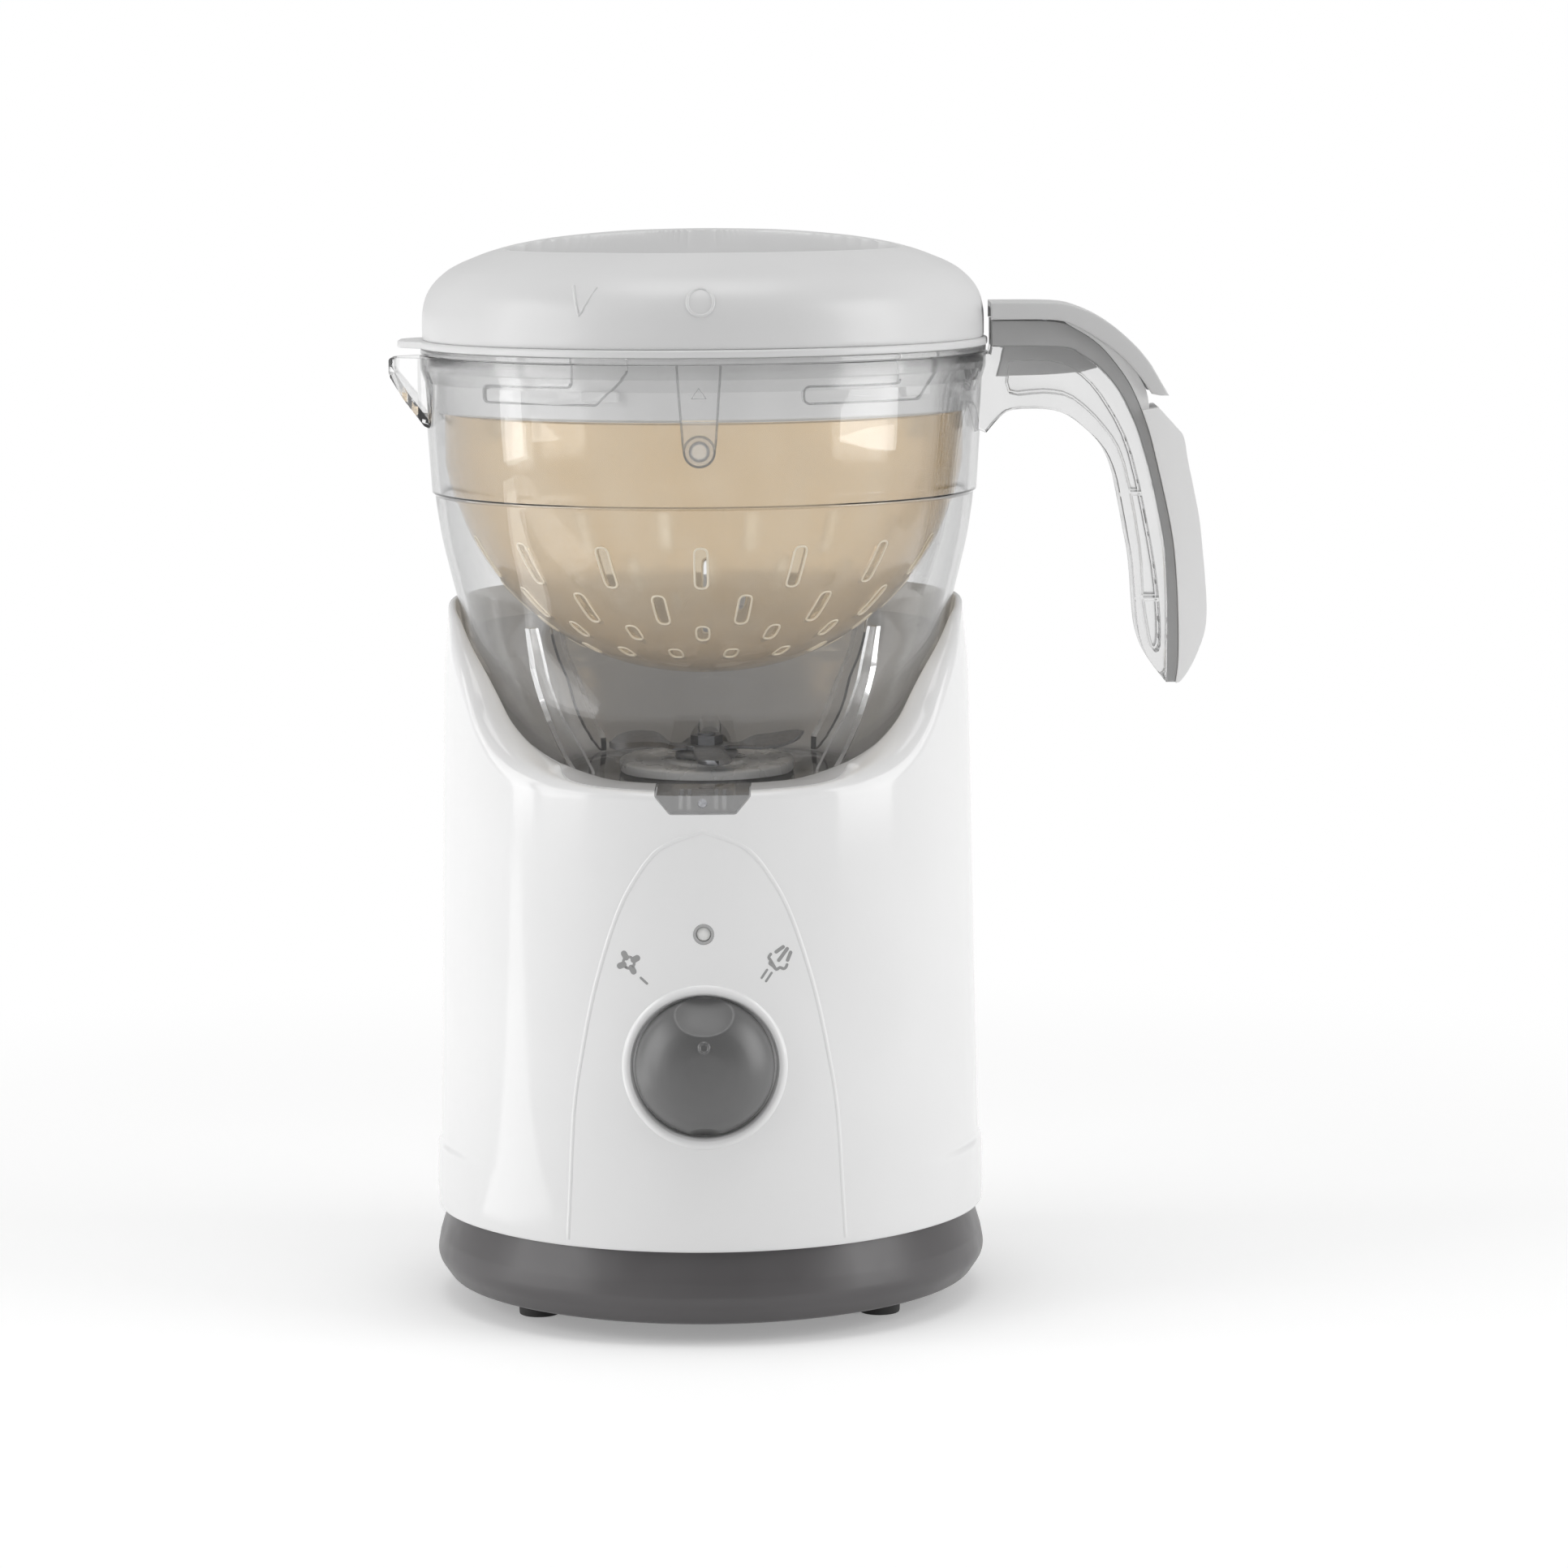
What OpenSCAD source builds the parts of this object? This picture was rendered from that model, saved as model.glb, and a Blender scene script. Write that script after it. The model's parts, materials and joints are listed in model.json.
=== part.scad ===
// Baby food maker: a steam basket over a blending jug on a motor and boiler base.
// Millimetres, +Z up. The origin is on the machine's axis, on the bench under the feet.
// The control knob faces -Y, the pouring spout -X and the handle +X.

/* [Casing] */
// Height of the rounded front lip that the jug is lifted over
lip_z = 153; // [150:0.5:156]
// Height of the casing's rim at the sides and back
rim_z = 200; // [197:0.5:202]
// Wall of the casing
casing_wall = 2.4; // [2:0.1:2.6]
// Radius of the shoulders of the front scoop
scoop_r = 36; // [34:0.5:38]
// Lean of the scoop's flanks from upright, in degrees
scoop_lean = 22; // [21:0.5:23]

/* [Base] */
// Distance of the rubber feet from the axis, to the side
foot_x = 48; // [40:1:50]
// Distance of the rubber feet from the axis, to the front and back
foot_y = 34; // [30:1:40]
// Radius of a rubber foot
foot_r = 6; // [5:0.5:8]

/* [Controls] */
// Height of the knob's axis
knob_z = 78; // [76:1:84]
// Radius of the knob
knob_r = 19.2; // [18:0.2:19.6]
// Height of the ready lamp
lamp_z = 114.7; // [110:0.5:120]

/* [Jug] */
// Width of the clear part of the handle
handle_w = 22; // [18:1:23]
// Width of the grip cover and the lever
grip_w = 25; // [24:0.5:28]
// Half width of the locating tab at its top
tab_half_w = 12.6; // [10:0.2:13]

/* [Basket] */
// Outer radius of the bowl
bowl_r = 74.4; // [74:0.1:74.8]
// Wall of the bowl
bowl_wall = 1.8; // [1.4:0.1:2]
// Slots in each ring
slots_per_ring = 15; // [12:1:16]
// Width of a slot
slot_w = 3.6; // [2.5:0.1:4]

/* [Lid] */
// Radius of the dome
dome_r = 79.2; // [78.6:0.1:79.4]
// Height of the crown of the dome
crown_z = 304; // [302:0.5:305]
// Half width of the grip bar across the lid
grip_bar_half_w = 9; // [7:0.5:11]
// Number of bayonet channels and lugs
bayonets = 5; // [5:1:5]

/* [Hidden] */
$fn = 96;

white = [0.95, 0.95, 0.95];
dark_grey = [0.30, 0.30, 0.30];
mid_grey = [0.50, 0.50, 0.50];
light_grey = [0.82, 0.82, 0.82];
clear = [0.90, 0.93, 0.95, 0.35];
amber = [0.92, 0.80, 0.66, 0.7];
steel = [0.72, 0.73, 0.75];
alloy = [0.75, 0.76, 0.77];
brass_colour = [0.80, 0.66, 0.36];
copper = [0.72, 0.42, 0.24];
rubber_colour = [0.20, 0.20, 0.20];
silicone = [0.85, 0.85, 0.85];

gap = 0.05;            // running fit, on the radius
far = 120;             // longer than the object is wide
shaft_r = 4;           // motor and blade shafts
screw_r = 1.4;         // shank of the self-tapping screws

// Heights of the seams
dish_top_z = 32;
casing_z = 26.5;
jug_top_z = 269.4;
collar_z = 269.6;
flange_z = 271.3;
dome_z = 273.4;
jug_floor_z = 148;
cradle_floor_z = 142.5;

// ---------------------------------------------------------------- helpers

function mirrored(points) = [for (i = [len(points) - 1 : -1 : 0]) points[i]];
function moved(points, dr, dz = 0) = [for (p = points) [p[0] + dr, p[1] + dz]];

// One point of a Catmull-Rom curve between b and c
function curve_point(a, b, c, d, t) =
  0.5 * (2 * b + (c - a) * t + (2 * a - 5 * b + 4 * c - d) * t * t + (3 * b - a - 3 * c + d) * t * t * t);

// A smooth curve through all the points, with n steps to a span
function smooth(p, n = 4) = concat(
  [for (i = [0 : len(p) - 2], k = [0 : n - 1])
    curve_point(p[max(i - 1, 0)], p[i], p[i + 1], p[min(i + 2, len(p) - 1)], k / n)],
  [p[len(p) - 1]]);

module revolve(points) {
  rotate_extrude() polygon(points);
}

module tube(r_out, r_in, z0, z1) {
  translate([0, 0, z0]) difference() {
    cylinder(r = r_out, h = z1 - z0);
    translate([0, 0, -1]) cylinder(r = r_in, h = z1 - z0 + 2);
  }
}

module disc(r, z0, z1) {
  translate([0, 0, z0]) cylinder(r = r, h = z1 - z0);
}

// A cylinder along Y, from y0 to y1
module rod_y(r, y0, y1, x = 0, z = 0) {
  translate([x, y0, z]) rotate([-90, 0, 0]) cylinder(r = r, h = y1 - y0);
}

module box(x0, x1, y0, y1, z0, z1) {
  translate([x0, y0, z0]) cube([x1 - x0, y1 - y0, z1 - z0]);
}

// A shape drawn in X and Z, given a width in Y
module side_plate(points, w) {
  translate([0, w / 2, 0]) rotate([90, 0, 0]) linear_extrude(w) polygon(points);
}

module around(n, first = 0) {
  for (i = [0 : n - 1]) rotate([0, 0, first + i * 360 / n]) children();
}

module at_corners(x, y) {
  for (sx = [-1, 1], sy = [-1, 1]) translate([sx * x, sy * y, 0]) children();
}

// A solid between two radii, from one bearing to another, seen from above
module sector(r_in, r_out, from, to, z0, z1) {
  translate([0, 0, z0]) rotate([0, 0, from]) rotate_extrude(angle = to - from)
    translate([r_in, 0]) square([r_out - r_in, z1 - z0]);
}

// ---------------------------------------------------------------- casing

casing_outer = [
  [78.2, casing_z], [78.6, 34], [78.1, 45.5], [77.3, 47.5], [76.3, 90], [75.6, 130],
  [74.9, 165], [74.4, 182], [73.4, 192], [72.8, rim_z]
];
screw_ring_r = 66;

flank_x = 64.6; // where the scoop's round shoulders meet its straight flanks
flank_kink = 3; // degrees at which they cross there

// The front scoop, seen from the front: a flat lip, round shoulders and leaning flanks
module scoop_outline(grow) {
  shoulder_x = flank_x - scoop_r * cos(scoop_lean);
  shoulder_z = lip_z + scoop_r;
  r = scoop_r + grow;
  foot_turn = scoop_lean + flank_kink;
  foot = [shoulder_x + r * cos(foot_turn), shoulder_z - r * sin(foot_turn)];
  head = [foot[0] + far * sin(scoop_lean), foot[1] + far * cos(scoop_lean)];
  for (s = [-1, 1]) translate([s * shoulder_x, shoulder_z]) circle(r = r);
  translate([-shoulder_x, lip_z - grow]) square([2 * shoulder_x, r]);
  polygon([[-shoulder_x, shoulder_z], [-foot[0], foot[1]], [-head[0], head[1]],
           head, foot, [shoulder_x, shoulder_z]]);
}

module scoop(grow = 0) {
  rotate([90, 0, 0]) linear_extrude(far) scoop_outline(grow);
}

// Space for the jug's tab and the arm that carries it
module tab_notch() {
  clearance = 0.5;
  half_w = tab_half_w + clearance;
  rotate([90, 0, 0]) linear_extrude(far)
    polygon([[-half_w, lip_z + 1], [-half_w, lip_z - 1], [-half_w + 4, 147.4],
             [half_w - 4, 147.4], [half_w, lip_z - 1], [half_w, lip_z + 1]]);
}

knob_floor_y = -72.6;
knob_well_r = 20.2; // at its floor
knob_well_flare = 0.62; // how much the well's radius grows with each millimetre outwards
well_depth = 18;
shaft_hole_r = 3.4;
lamp_hole_r = 2.85;
gland_neck_r = 6.5;
screw_post_h = 16;

module housing() {
  deck_space = [[46.6, 140], [50.9, 144.5], [55.5, 151.2], [61.1, 158.8], [65.9, 168], [69.7, 177.6],
                [71.5, 185], [71.5, rim_z], [72, rim_z], [73, 190], [73.6, 170], [73.8, 140]];
  color(white) difference() {
    union() {
      difference() {
        revolve(concat(casing_outer, mirrored(moved(casing_outer, -casing_wall))));
        scoop();
      }
      intersection() {
        difference() {
          scoop(2.2);
          scoop();
        }
        revolve(deck_space);
      }
      intersection() {
        rod_y(25.2, -77, knob_floor_y + 2.2, 0, knob_z);
        revolve(concat([[10, casing_z]], casing_outer, [[10, rim_z]]));
      }
      around(4, 45) {
        translate([screw_ring_r, 0, dish_top_z + 2]) cylinder(r = 4.6, h = screw_post_h);
        box(screw_ring_r, 75, -1.5, 1.5, dish_top_z + 2, dish_top_z + 2 + screw_post_h);
      }
    }
    tab_notch();
    translate([0, knob_floor_y, knob_z]) rotate([90, 0, 0])
      cylinder(r1 = knob_well_r, r2 = knob_well_r + knob_well_flare * well_depth, h = well_depth);
    rod_y(shaft_hole_r, -90, -60, 0, knob_z);
    rod_y(lamp_hole_r, -90, -60, 0, lamp_z);
    rod_y(gland_neck_r + 0.1, 60, 90, 0, gland_z);
    around(4, 45) translate([screw_ring_r, 0, dish_top_z]) cylinder(r = screw_r + gap, h = 14);
  }
}

boiler_post_x = 29;
boiler_post_y = 49;
boiler_z = 58;

module base_dish() {
  dish_outer = [[0, 5], [71, 5], [74.8, 6.2], [76.4, 8], [78.2, 11.4], [78.2, 12.6],
                [75.2, 19.5], [75.2, dish_top_z]];
  dish_inner = [[73, dish_top_z], [73, 20], [75.6, 13], [75.6, 11], [72, 7.4], [0, 7.4]];
  color(dark_grey) difference() {
    union() {
      revolve(concat(dish_outer, dish_inner));
      around(4, 45) translate([screw_ring_r, 0, 7]) cylinder(r = 5, h = dish_top_z - 5);
      for (s = [-1, 1]) translate([s * boiler_post_x, boiler_post_y, 7]) cylinder(r = 5, h = boiler_z - 7);
    }
    around(4, 45) translate([screw_ring_r, 0, 0]) {
      cylinder(r = screw_r + 0.3, h = 40);
      cylinder(r = 3.6, h = 13);
    }
    around(12, 15) box(24, 42, -1.5, 1.5, 4, 9);
  }
}

module rubber_feet() {
  color(rubber_colour) at_corners(foot_x, foot_y) disc(foot_r, 0, 5);
}

module screw(head_z, length) {
  translate([0, 0, head_z]) cylinder(r = 3, h = 2.2);
  translate([0, 0, head_z + 2.1]) cylinder(r = screw_r, h = length);
}

motor_screw_r = 29;

module screws() {
  color(steel) {
    around(4, 45) translate([screw_ring_r, 0, 0]) screw(10.8, 32);
    around(4) translate([motor_screw_r, 0, 0]) screw(118.8, 15);
  }
}

// ---------------------------------------------------------------- jug seat

cradle_inner = [[15, cradle_floor_z], [45, cradle_floor_z], [49, 146.5], [53.6, 152.8], [59, 160.3],
                [63.6, 169], [67.5, 178.4], [69.4, 185]];
cradle_under = [[71, 185], [69.2, 177.8], [65.3, 168.2], [60.5, 159], [55, 151.4], [50.3, 144.7],
                [46, 140.3], [15, 140.3]];
pad_r = 38;
steam_y = 50;

module cradle() {
  color(mid_grey) difference() {
    union() {
      revolve(concat(cradle_inner, cradle_under));
      around(4, 45) translate([pad_r, 0, 142]) cylinder(r = 4, h = jug_floor_z - 142);
      around(4) translate([motor_screw_r, 0, 129]) cylinder(r = 4.5, h = 12);
    }
    scoop();
    tab_notch();
    around(4) translate([motor_screw_r, 0, 120]) cylinder(r = screw_r + gap, h = 18);
    translate([0, steam_y, 130]) cylinder(r = 6.6, h = 30);
  }
}

module drive_gasket() {
  color(rubber_colour) tube(18, 15.2, cradle_floor_z, cradle_floor_z + 0.6);
}

// ---------------------------------------------------------------- motor

stator_half = 31;
motor_bolt_at = 25;
bearing_r = 9.5;
coil_x = 24.4;      // middle of each winding
brush_z = 63;

module motor_end(z0, z1, hub_z0, hub_z1, bearing_z0, bearing_z1) {
  color(alloy) difference() {
    union() {
      disc(40, z0, z1);
      disc(12.5, hub_z0, hub_z1);
    }
    disc(5, hub_z0 - 1, hub_z1 + 1);
    disc(bearing_r + gap, bearing_z0, bearing_z1);
    at_corners(motor_bolt_at, motor_bolt_at) disc(2.2, z0 - 1, z1 + 1);
    around(8, 22.5) box(17, 26, -2.5, 2.5, z0 - 1, z1 + 1);
    around(4) translate([motor_screw_r, 0, 0]) disc(1.7, z0 - 1, z1 + 1);
  }
}

module motor_top_bracket() {
  motor_end(121, 125, 121, 126.4, 121.6, 127);
}

module motor_bottom_bracket() {
  motor_end(52, 56, 48.6, 56, 48, 54.4);
}

module motor_bolts() {
  color(steel) at_corners(motor_bolt_at, motor_bolt_at) {
    disc(2, 51, 125.2);
    disc(3.6, 49.6, 52);
    disc(3.4, 125, 127.4);
  }
}

module motor_grommets() {
  color(rubber_colour) around(4) translate([motor_screw_r, 0, 0]) tube(4.4, 1.7, 125, 129);
}

module bearing(z0, z1) {
  color(steel) tube(bearing_r, shaft_r + gap, z0, z1);
}

module top_bearing() {
  bearing(121.6, 126.2);
}

module bottom_bearing() {
  bearing(49.4, 54.2);
}

module stator_core() {
  color(steel) difference() {
    box(-stator_half, stator_half, -stator_half, stator_half, 75, 105);
    disc(20.5, 70, 110);
    at_corners(motor_bolt_at, motor_bolt_at) disc(2.2, 70, 110);
    for (s = [-1, 1]) box(s * coil_x - 3.2, s * coil_x + 3.2, -16, 16, 70, 110);
  }
}

// Two windings, each a closed loop through a slot and around the pole
module field_coils() {
  color(copper) for (s = [-1, 1]) difference() {
    box(s * coil_x - 2.8, s * coil_x + 2.8, -15.6, 15.6, 69.5, 110.5);
    box(s * coil_x - 4, s * coil_x + 4, -8, 8, 75, 105);
  }
}

module brush_holders() {
  color(brass_colour) for (s = [-1, 1]) difference() {
    translate([0, s * 19.5, brush_z]) cube([8, 13, 8], center = true);
    translate([0, s * 19.5, brush_z]) cube([5.2, 14, 5.2], center = true);
  }
}

module carbon_brushes() {
  color(dark_grey) for (s = [-1, 1]) translate([0, s * 18, brush_z]) cube([5, 13.2, 5], center = true);
}

module motor_shaft() {
  color(steel) disc(shaft_r, 49.2, 133);
}

module on_shaft(z0, z1) {
  difference() {
    children();
    disc(shaft_r + gap, z0 - 1, z1 + 1);
  }
}

module rotor_core() {
  color(steel) on_shaft(74, 106) difference() {
    disc(19.4, 75, 105);
    around(12) box(15.6, 21, -1.1, 1.1, 74, 106);
  }
}

module commutator() {
  color(copper) on_shaft(58, 69) difference() {
    disc(11, 58.5, 68);
    around(16) box(10.2, 12, -0.3, 0.3, 58, 69);
  }
}

module cooling_fan() {
  color(dark_grey) on_shaft(111, 119) {
    disc(27, 112, 113.6);
    disc(8, 112, 118);
    around(9) box(7, 26.5, -0.8, 0.8, 113, 118);
  }
}

coupling_r = 13;
dogs = 4;

// A row of drive dogs, each as wide as most of the space between two of the others
module dog_ring(first, z0, z1) {
  for (i = [0 : dogs - 1]) sector(6.5, coupling_r - 0.4, first + i * 90 - 18, first + i * 90 + 18, z0, z1);
}

module drive_coupling() {
  color(dark_grey) {
    revolve([[shaft_r + gap, 127], [6, 127], [6, 131], [coupling_r, 131], [coupling_r, 134.6],
             [shaft_r + gap, 134.6]]);
    dog_ring(0, 134.5, 139.4);
  }
}

// ---------------------------------------------------------------- boiler

heater_turn = 20; // each leg of the element stands this far round from the back
heater_r = 56;
heater_z = 67;
boiler_in_r = 42.5;
boiler_out_r = 69.5;
steam_pipe_r = 4;

module boiler_tank() {
  color(alloy) difference() {
    sector(boiler_in_r, boiler_out_r, 50, 130, boiler_z, 112);
    sector(boiler_in_r + 2.5, boiler_out_r - 2.5, 53, 127, boiler_z + 2.5, 113);
    for (a = [-1, 1]) rotate([0, 0, 90 + a * heater_turn]) translate([heater_r, 0, 0]) disc(2.3, 50, 62);
  }
}

module boiler_cover() {
  color(alloy) difference() {
    union() {
      sector(boiler_in_r, boiler_out_r, 50, 130, 112, 115);
      translate([0, steam_y, 0]) disc(6, 114, 119);
    }
    translate([0, steam_y, 0]) disc(steam_pipe_r + gap, 116, 120);
    translate([0, steam_y, 0]) disc(3, 110, 120);
  }
}

module heating_element() {
  color(steel) {
    rotate([0, 0, 90 - heater_turn]) rotate_extrude(angle = 2 * heater_turn)
      translate([heater_r, heater_z]) circle(r = 3.2);
    for (a = [-1, 1]) rotate([0, 0, 90 + a * heater_turn]) translate([heater_r, 0, 0]) {
      disc(2, 50, heater_z);
      translate([0, 0, heater_z]) sphere(r = 3.2);
    }
  }
}

module thermostat() {
  color(dark_grey) translate([0, 56, 0]) {
    disc(8, 49, boiler_z);
    disc(3, 46, 49.5);
  }
}

module steam_pipe() {
  color(silicone) translate([0, steam_y, 0]) tube(steam_pipe_r, 3, 116, 140.3);
}

module steam_seal() {
  color(silicone) translate([0, steam_y, 0]) difference() {
    union() {
      disc(6.5, 136.5, 147.8);
      disc(8, 136.5, 139.9);
    }
    disc(3.2, 130, 150);
    disc(steam_pipe_r + gap, 130, 140.4);
  }
}

// ---------------------------------------------------------------- controls

board_y = -45;
knob_shaft_r = 3;

module rotary_switch() {
  color(dark_grey) difference() {
    union() {
      box(-13, 13, -60.5, board_y, knob_z - 13, knob_z + 13);
      rod_y(6, knob_floor_y + 2.2, -60, 0, knob_z);
    }
    rod_y(knob_shaft_r + gap, -75, -50, 0, knob_z);
  }
}

module control_board() {
  color([0.10, 0.35, 0.20]) box(-24, 24, board_y, board_y + 1.6, 60, 122);
}

module board_parts() {
  back_y = board_y + 1.6;
  color([0.15, 0.25, 0.45]) {
    box(-20, -6, back_y, back_y + 7, 92, 106);
    box(4, 20, back_y, back_y + 6, 98, 112);
    for (x = [8, 18]) rod_y(4, back_y, back_y + 7.5, x, 68);
  }
  color(alloy) difference() {
    box(-22, -4, back_y, back_y + 7, 64, 84);
    for (x = [-19 : 4 : -7]) box(x, x + 2, back_y + 2, back_y + 8, 63, 85);
  }
}

module jug_sensor() {
  color(dark_grey) box(-6, 6, -72.4, -68.4, 134, 145);
}

module lamp_pipe() {
  color(clear) rod_y(2, -76, board_y, 0, lamp_z);
}

module lamp_ring() {
  color(light_grey) difference() {
    rod_y(2.8, -76, -72, 0, lamp_z);
    rod_y(2.05, -80, -60, 0, lamp_z);
  }
}

gland_z = 42;

module cord_gland() {
  color(rubber_colour) difference() {
    union() {
      rod_y(gland_neck_r, 68, 78.8, 0, gland_z);
      rod_y(9, 78.7, 80.8, 0, gland_z);
      rod_y(8.6, 70, 74.6, 0, gland_z);
    }
    rod_y(3.4, 70.5, 90, 0, gland_z);
  }
}

module knob() {
  knob_profile = [[0, 0], [knob_r - 0.5, 0], [knob_r, 0.5], [knob_r, 2.6], [knob_r - 0.6, 4.9],
                  [knob_r - 2.6, 7.6], [knob_r - 6.2, 10.2], [knob_r - 11, 11.6], [0, 12.2]];
  color(dark_grey) difference() {
    translate([0, knob_floor_y - 0.8, knob_z]) rotate([90, 0, 0]) rotate_extrude() polygon(knob_profile);
    translate([0, -94, knob_z + 15.5]) sphere(r = 11.5);
    translate([0, -90.2, knob_z - 22]) sphere(r = 12);
    rod_y(knob_shaft_r + gap, -80, -60, 0, knob_z);
  }
}

module knob_shaft() {
  color(steel) rod_y(knob_shaft_r, -80, -52, 0, knob_z);
}

// ---------------------------------------------------------------- jug

jug_outer = [[44, jug_floor_z], [47.5, 149.5], [52, 154], [57.5, 161.5], [62, 170], [65.8, 179],
             [68.4, 188], [69.6, 198], [72.2, 208], [74.3, 217], [75.7, 225], [76.2, 230],
             [77, 230.4], [78.2, 249], [79, 262], [80.2, 266], [80.2, jug_top_z]];
jug_inner = [[43.5, 150.4], [46.2, 151.6], [50.1, 155.8], [55.4, 163], [59.8, 171.2], [63.5, 179.8],
             [66.1, 188], [67.3, 198], [69.9, 208], [72, 217], [73.4, 225], [74, 230], [74.8, 231],
             [76, 249], [76.8, 262], [78, jug_top_z]];

// Lines of the handle, seen from the side, each from the jug out and down to the tip
lever_top = [[80.8, 283], [98.5, 282.8], [106, 281.2], [113.6, 277.4], [120.5, 271.6], [125.1, 266.3],
             [128.1, 261.3], [130.8, 256.7]];
band_top = [[81, 278.1], [98.5, 277.8], [104.6, 275.5], [111.4, 270.9], [117.5, 263.7], [121.3, 257.2],
            [125.1, 247.3], [128.2, 235], [130.9, 222.8], [132.5, 212.8], [133.5, 198.3], [133.7, 183],
            [132.9, 175.6]];
band_under = [[81, 270.7], [100.8, 270.4], [106, 268.3], [111.4, 264.5], [116.8, 258], [121.3, 248.8],
              [125.1, 236.6], [127.8, 224.4], [129.8, 212.9], [130.5, 198.3], [130.5, 183],
              [130.3, 175.6]];
clear_under = [[79.5, 246.5], [83.2, 250.7], [87, 252.9], [96.2, 253], [102.3, 251.3], [108.3, 246.6],
               [112.9, 241.3], [115.6, 235.1], [117.1, 228.3], [119.1, 217.6], [120.6, 209.1],
               [121.8, 193.7], [122.9, 187.7], [125.2, 182.2], [130.3, 175.6]];
grip_outer = [[127.9, 253.4], [132.7, 248.1], [135, 244.9], [136.2, 238.1], [138.1, 229], [139.7, 219.7],
              [141.3, 202.1], [141.5, 195.2], [140.9, 189.9], [139, 184.4], [136.8, 179.8],
              [134.4, 176.4], [132.9, 175.6]];
band_curve = smooth(band_top, 3);
grip_start = 16; // the grip cover lies on the band's curve from this point on

module spout_solid(t) {
  side = [[-72, 247 + t], [-78.2 + t, 249.5 + t], [-88.4 + t, 262.2 + t], [-88.8 + t, jug_top_z - 1 + t],
          [-72, jug_top_z - 1 + t]];
  intersection() {
    side_plate(side, far);
    translate([0, 0, 240]) linear_extrude(40)
      polygon([[-72, -20 + 1.4 * t], [-88.8 + t, -4.2 + 0.6 * t], [-88.8 + t, 4.2 - 0.6 * t],
               [-72, 20 - 1.4 * t]]);
  }
}

module handle_clear() {
  root = [[80.8, 268.6], [77.9, 268.6], [77.9, 248]];
  hollow = [[86, 266.5], [98, 266.4], [107, 262.5], [114.4, 253.4], [120.6, 240], [126.2, 214], [127, 198],
            [124.8, 192], [122.8, 214], [118.4, 237], [113, 247], [104, 255.6], [96, 257.4], [86, 257.4]];
  difference() {
    side_plate(concat(smooth(clear_under, 2), mirrored(smooth(band_under, 2)), root), handle_w);
    for (s = [-1, 1]) translate([0, s * handle_w / 2, 0]) side_plate(hollow, handle_w - 6);
  }
}

magnet_r = 1.2;
magnet_y = -70.2;

module jug_tab() {
  half_w = tab_half_w;
  intersection() {
    translate([0, -42, 0]) rotate([90, 0, 0]) linear_extrude(60)
      polygon([[-half_w, lip_z - 0.3], [half_w, lip_z - 0.3], [half_w, lip_z - 0.8],
               [half_w - 4, jug_floor_z], [-half_w + 4, jug_floor_z], [-half_w, lip_z - 0.8]]);
    disc(75.6, 140, 160);
  }
}

module jug() {
  color(clear) difference() {
    union() {
      revolve(concat([[22, 150.4], [22, jug_floor_z]], jug_outer, mirrored(jug_inner)));
      difference() {
        union() {
          spout_solid(0);
          handle_clear();
          jug_tab();
        }
        revolve(concat([[0, 150]], [for (p = jug_inner) [p[0] + 0.6, p[1] - 0.5]], [[78.6, 272], [0, 272]]));
      }
      intersection() {
        around(4, 45) box(44, 75, -1.1, 1.1, 151, 196);
        revolve([[44, 150], [48.5, 153], [57.5, 165.5], [61.8, 174], [65, 183], [66.6, 196],
                 [63, 196], [58, 178], [50, 164], [43.4, 154]]);
      }
    }
    intersection() {
      spout_solid(1.8);
      box(-100, -60, -30, 30, 240, 280);
    }
    translate([0, steam_y, 140]) cylinder(r = 3.4, h = 25);
    rod_y(magnet_r + gap, -80, magnet_y, 0, 150.6);
  }
}

module tab_magnet() {
  color(steel) rod_y(magnet_r, -75.2, magnet_y, 0, 150.6);
}

lever_x = 96;
lever_z = 279.2;
lever_pin_r = 1.2;

module handle_band() {
  band_w = 20.6;
  color(mid_grey) difference() {
    union() {
      side_plate(concat(band_curve, mirrored(smooth(band_under, 2))), band_w);
      box(92, 100, -7, 7, 274, 281);
    }
    rod_y(lever_pin_r + gap, -20, 20, lever_x, lever_z);
  }
}

module handle_grip() {
  grip_under = [for (i = [grip_start : len(band_curve) - 1]) band_curve[i]];
  color(light_grey) side_plate(concat(smooth(grip_outer, 3), mirrored(grip_under)), grip_w);
}

module release_lever() {
  side_wall = 1.8;
  lever_under = [[80.8, 278.4], [98.5, 278.1], [104.6, 275.8], [111.4, 271.2], [117.5, 264], [121.3, 257.2]];
  inside = [[82, 281.7], [98.4, 281.6], [105.4, 280], [112.6, 276.3], [119.2, 270.6], [123.6, 265.4],
            [126.6, 260.4], [127.6, 250], [110, 250], [82, 270]];
  color(light_grey) difference() {
    side_plate(concat(smooth(lever_top, 3), mirrored(smooth(lever_under, 3))), grip_w);
    side_plate(inside, grip_w - 2 * side_wall);
    rod_y(lever_pin_r + gap, -20, 20, lever_x, lever_z);
  }
}

module lever_pin() {
  color(steel) rod_y(lever_pin_r, -grip_w / 2 + 0.4, grip_w / 2 - 0.4, lever_x, lever_z);
}

module lever_spring() {
  leaf = [[106, 275.3], [112, 271.2], [112.3, 271.6], [107.4, 275.6], [114.2, 273.3], [114.4, 273.9],
          [106.6, 276.4]];
  color(steel) side_plate(leaf, 6);
}

// ---------------------------------------------------------------- blade unit

module blade_base() {
  color(silicone) difference() {
    union() {
      disc(25, 150.9, 153.3);
      disc(21.6, 143.6, 151);
    }
    disc(7 + gap, 140, 160);
    tube(20, 11, 140, 149.4);
  }
}

module jug_seal() {
  color(rubber_colour) tube(24.6, 22.2, 150.4, 150.9);
}

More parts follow.
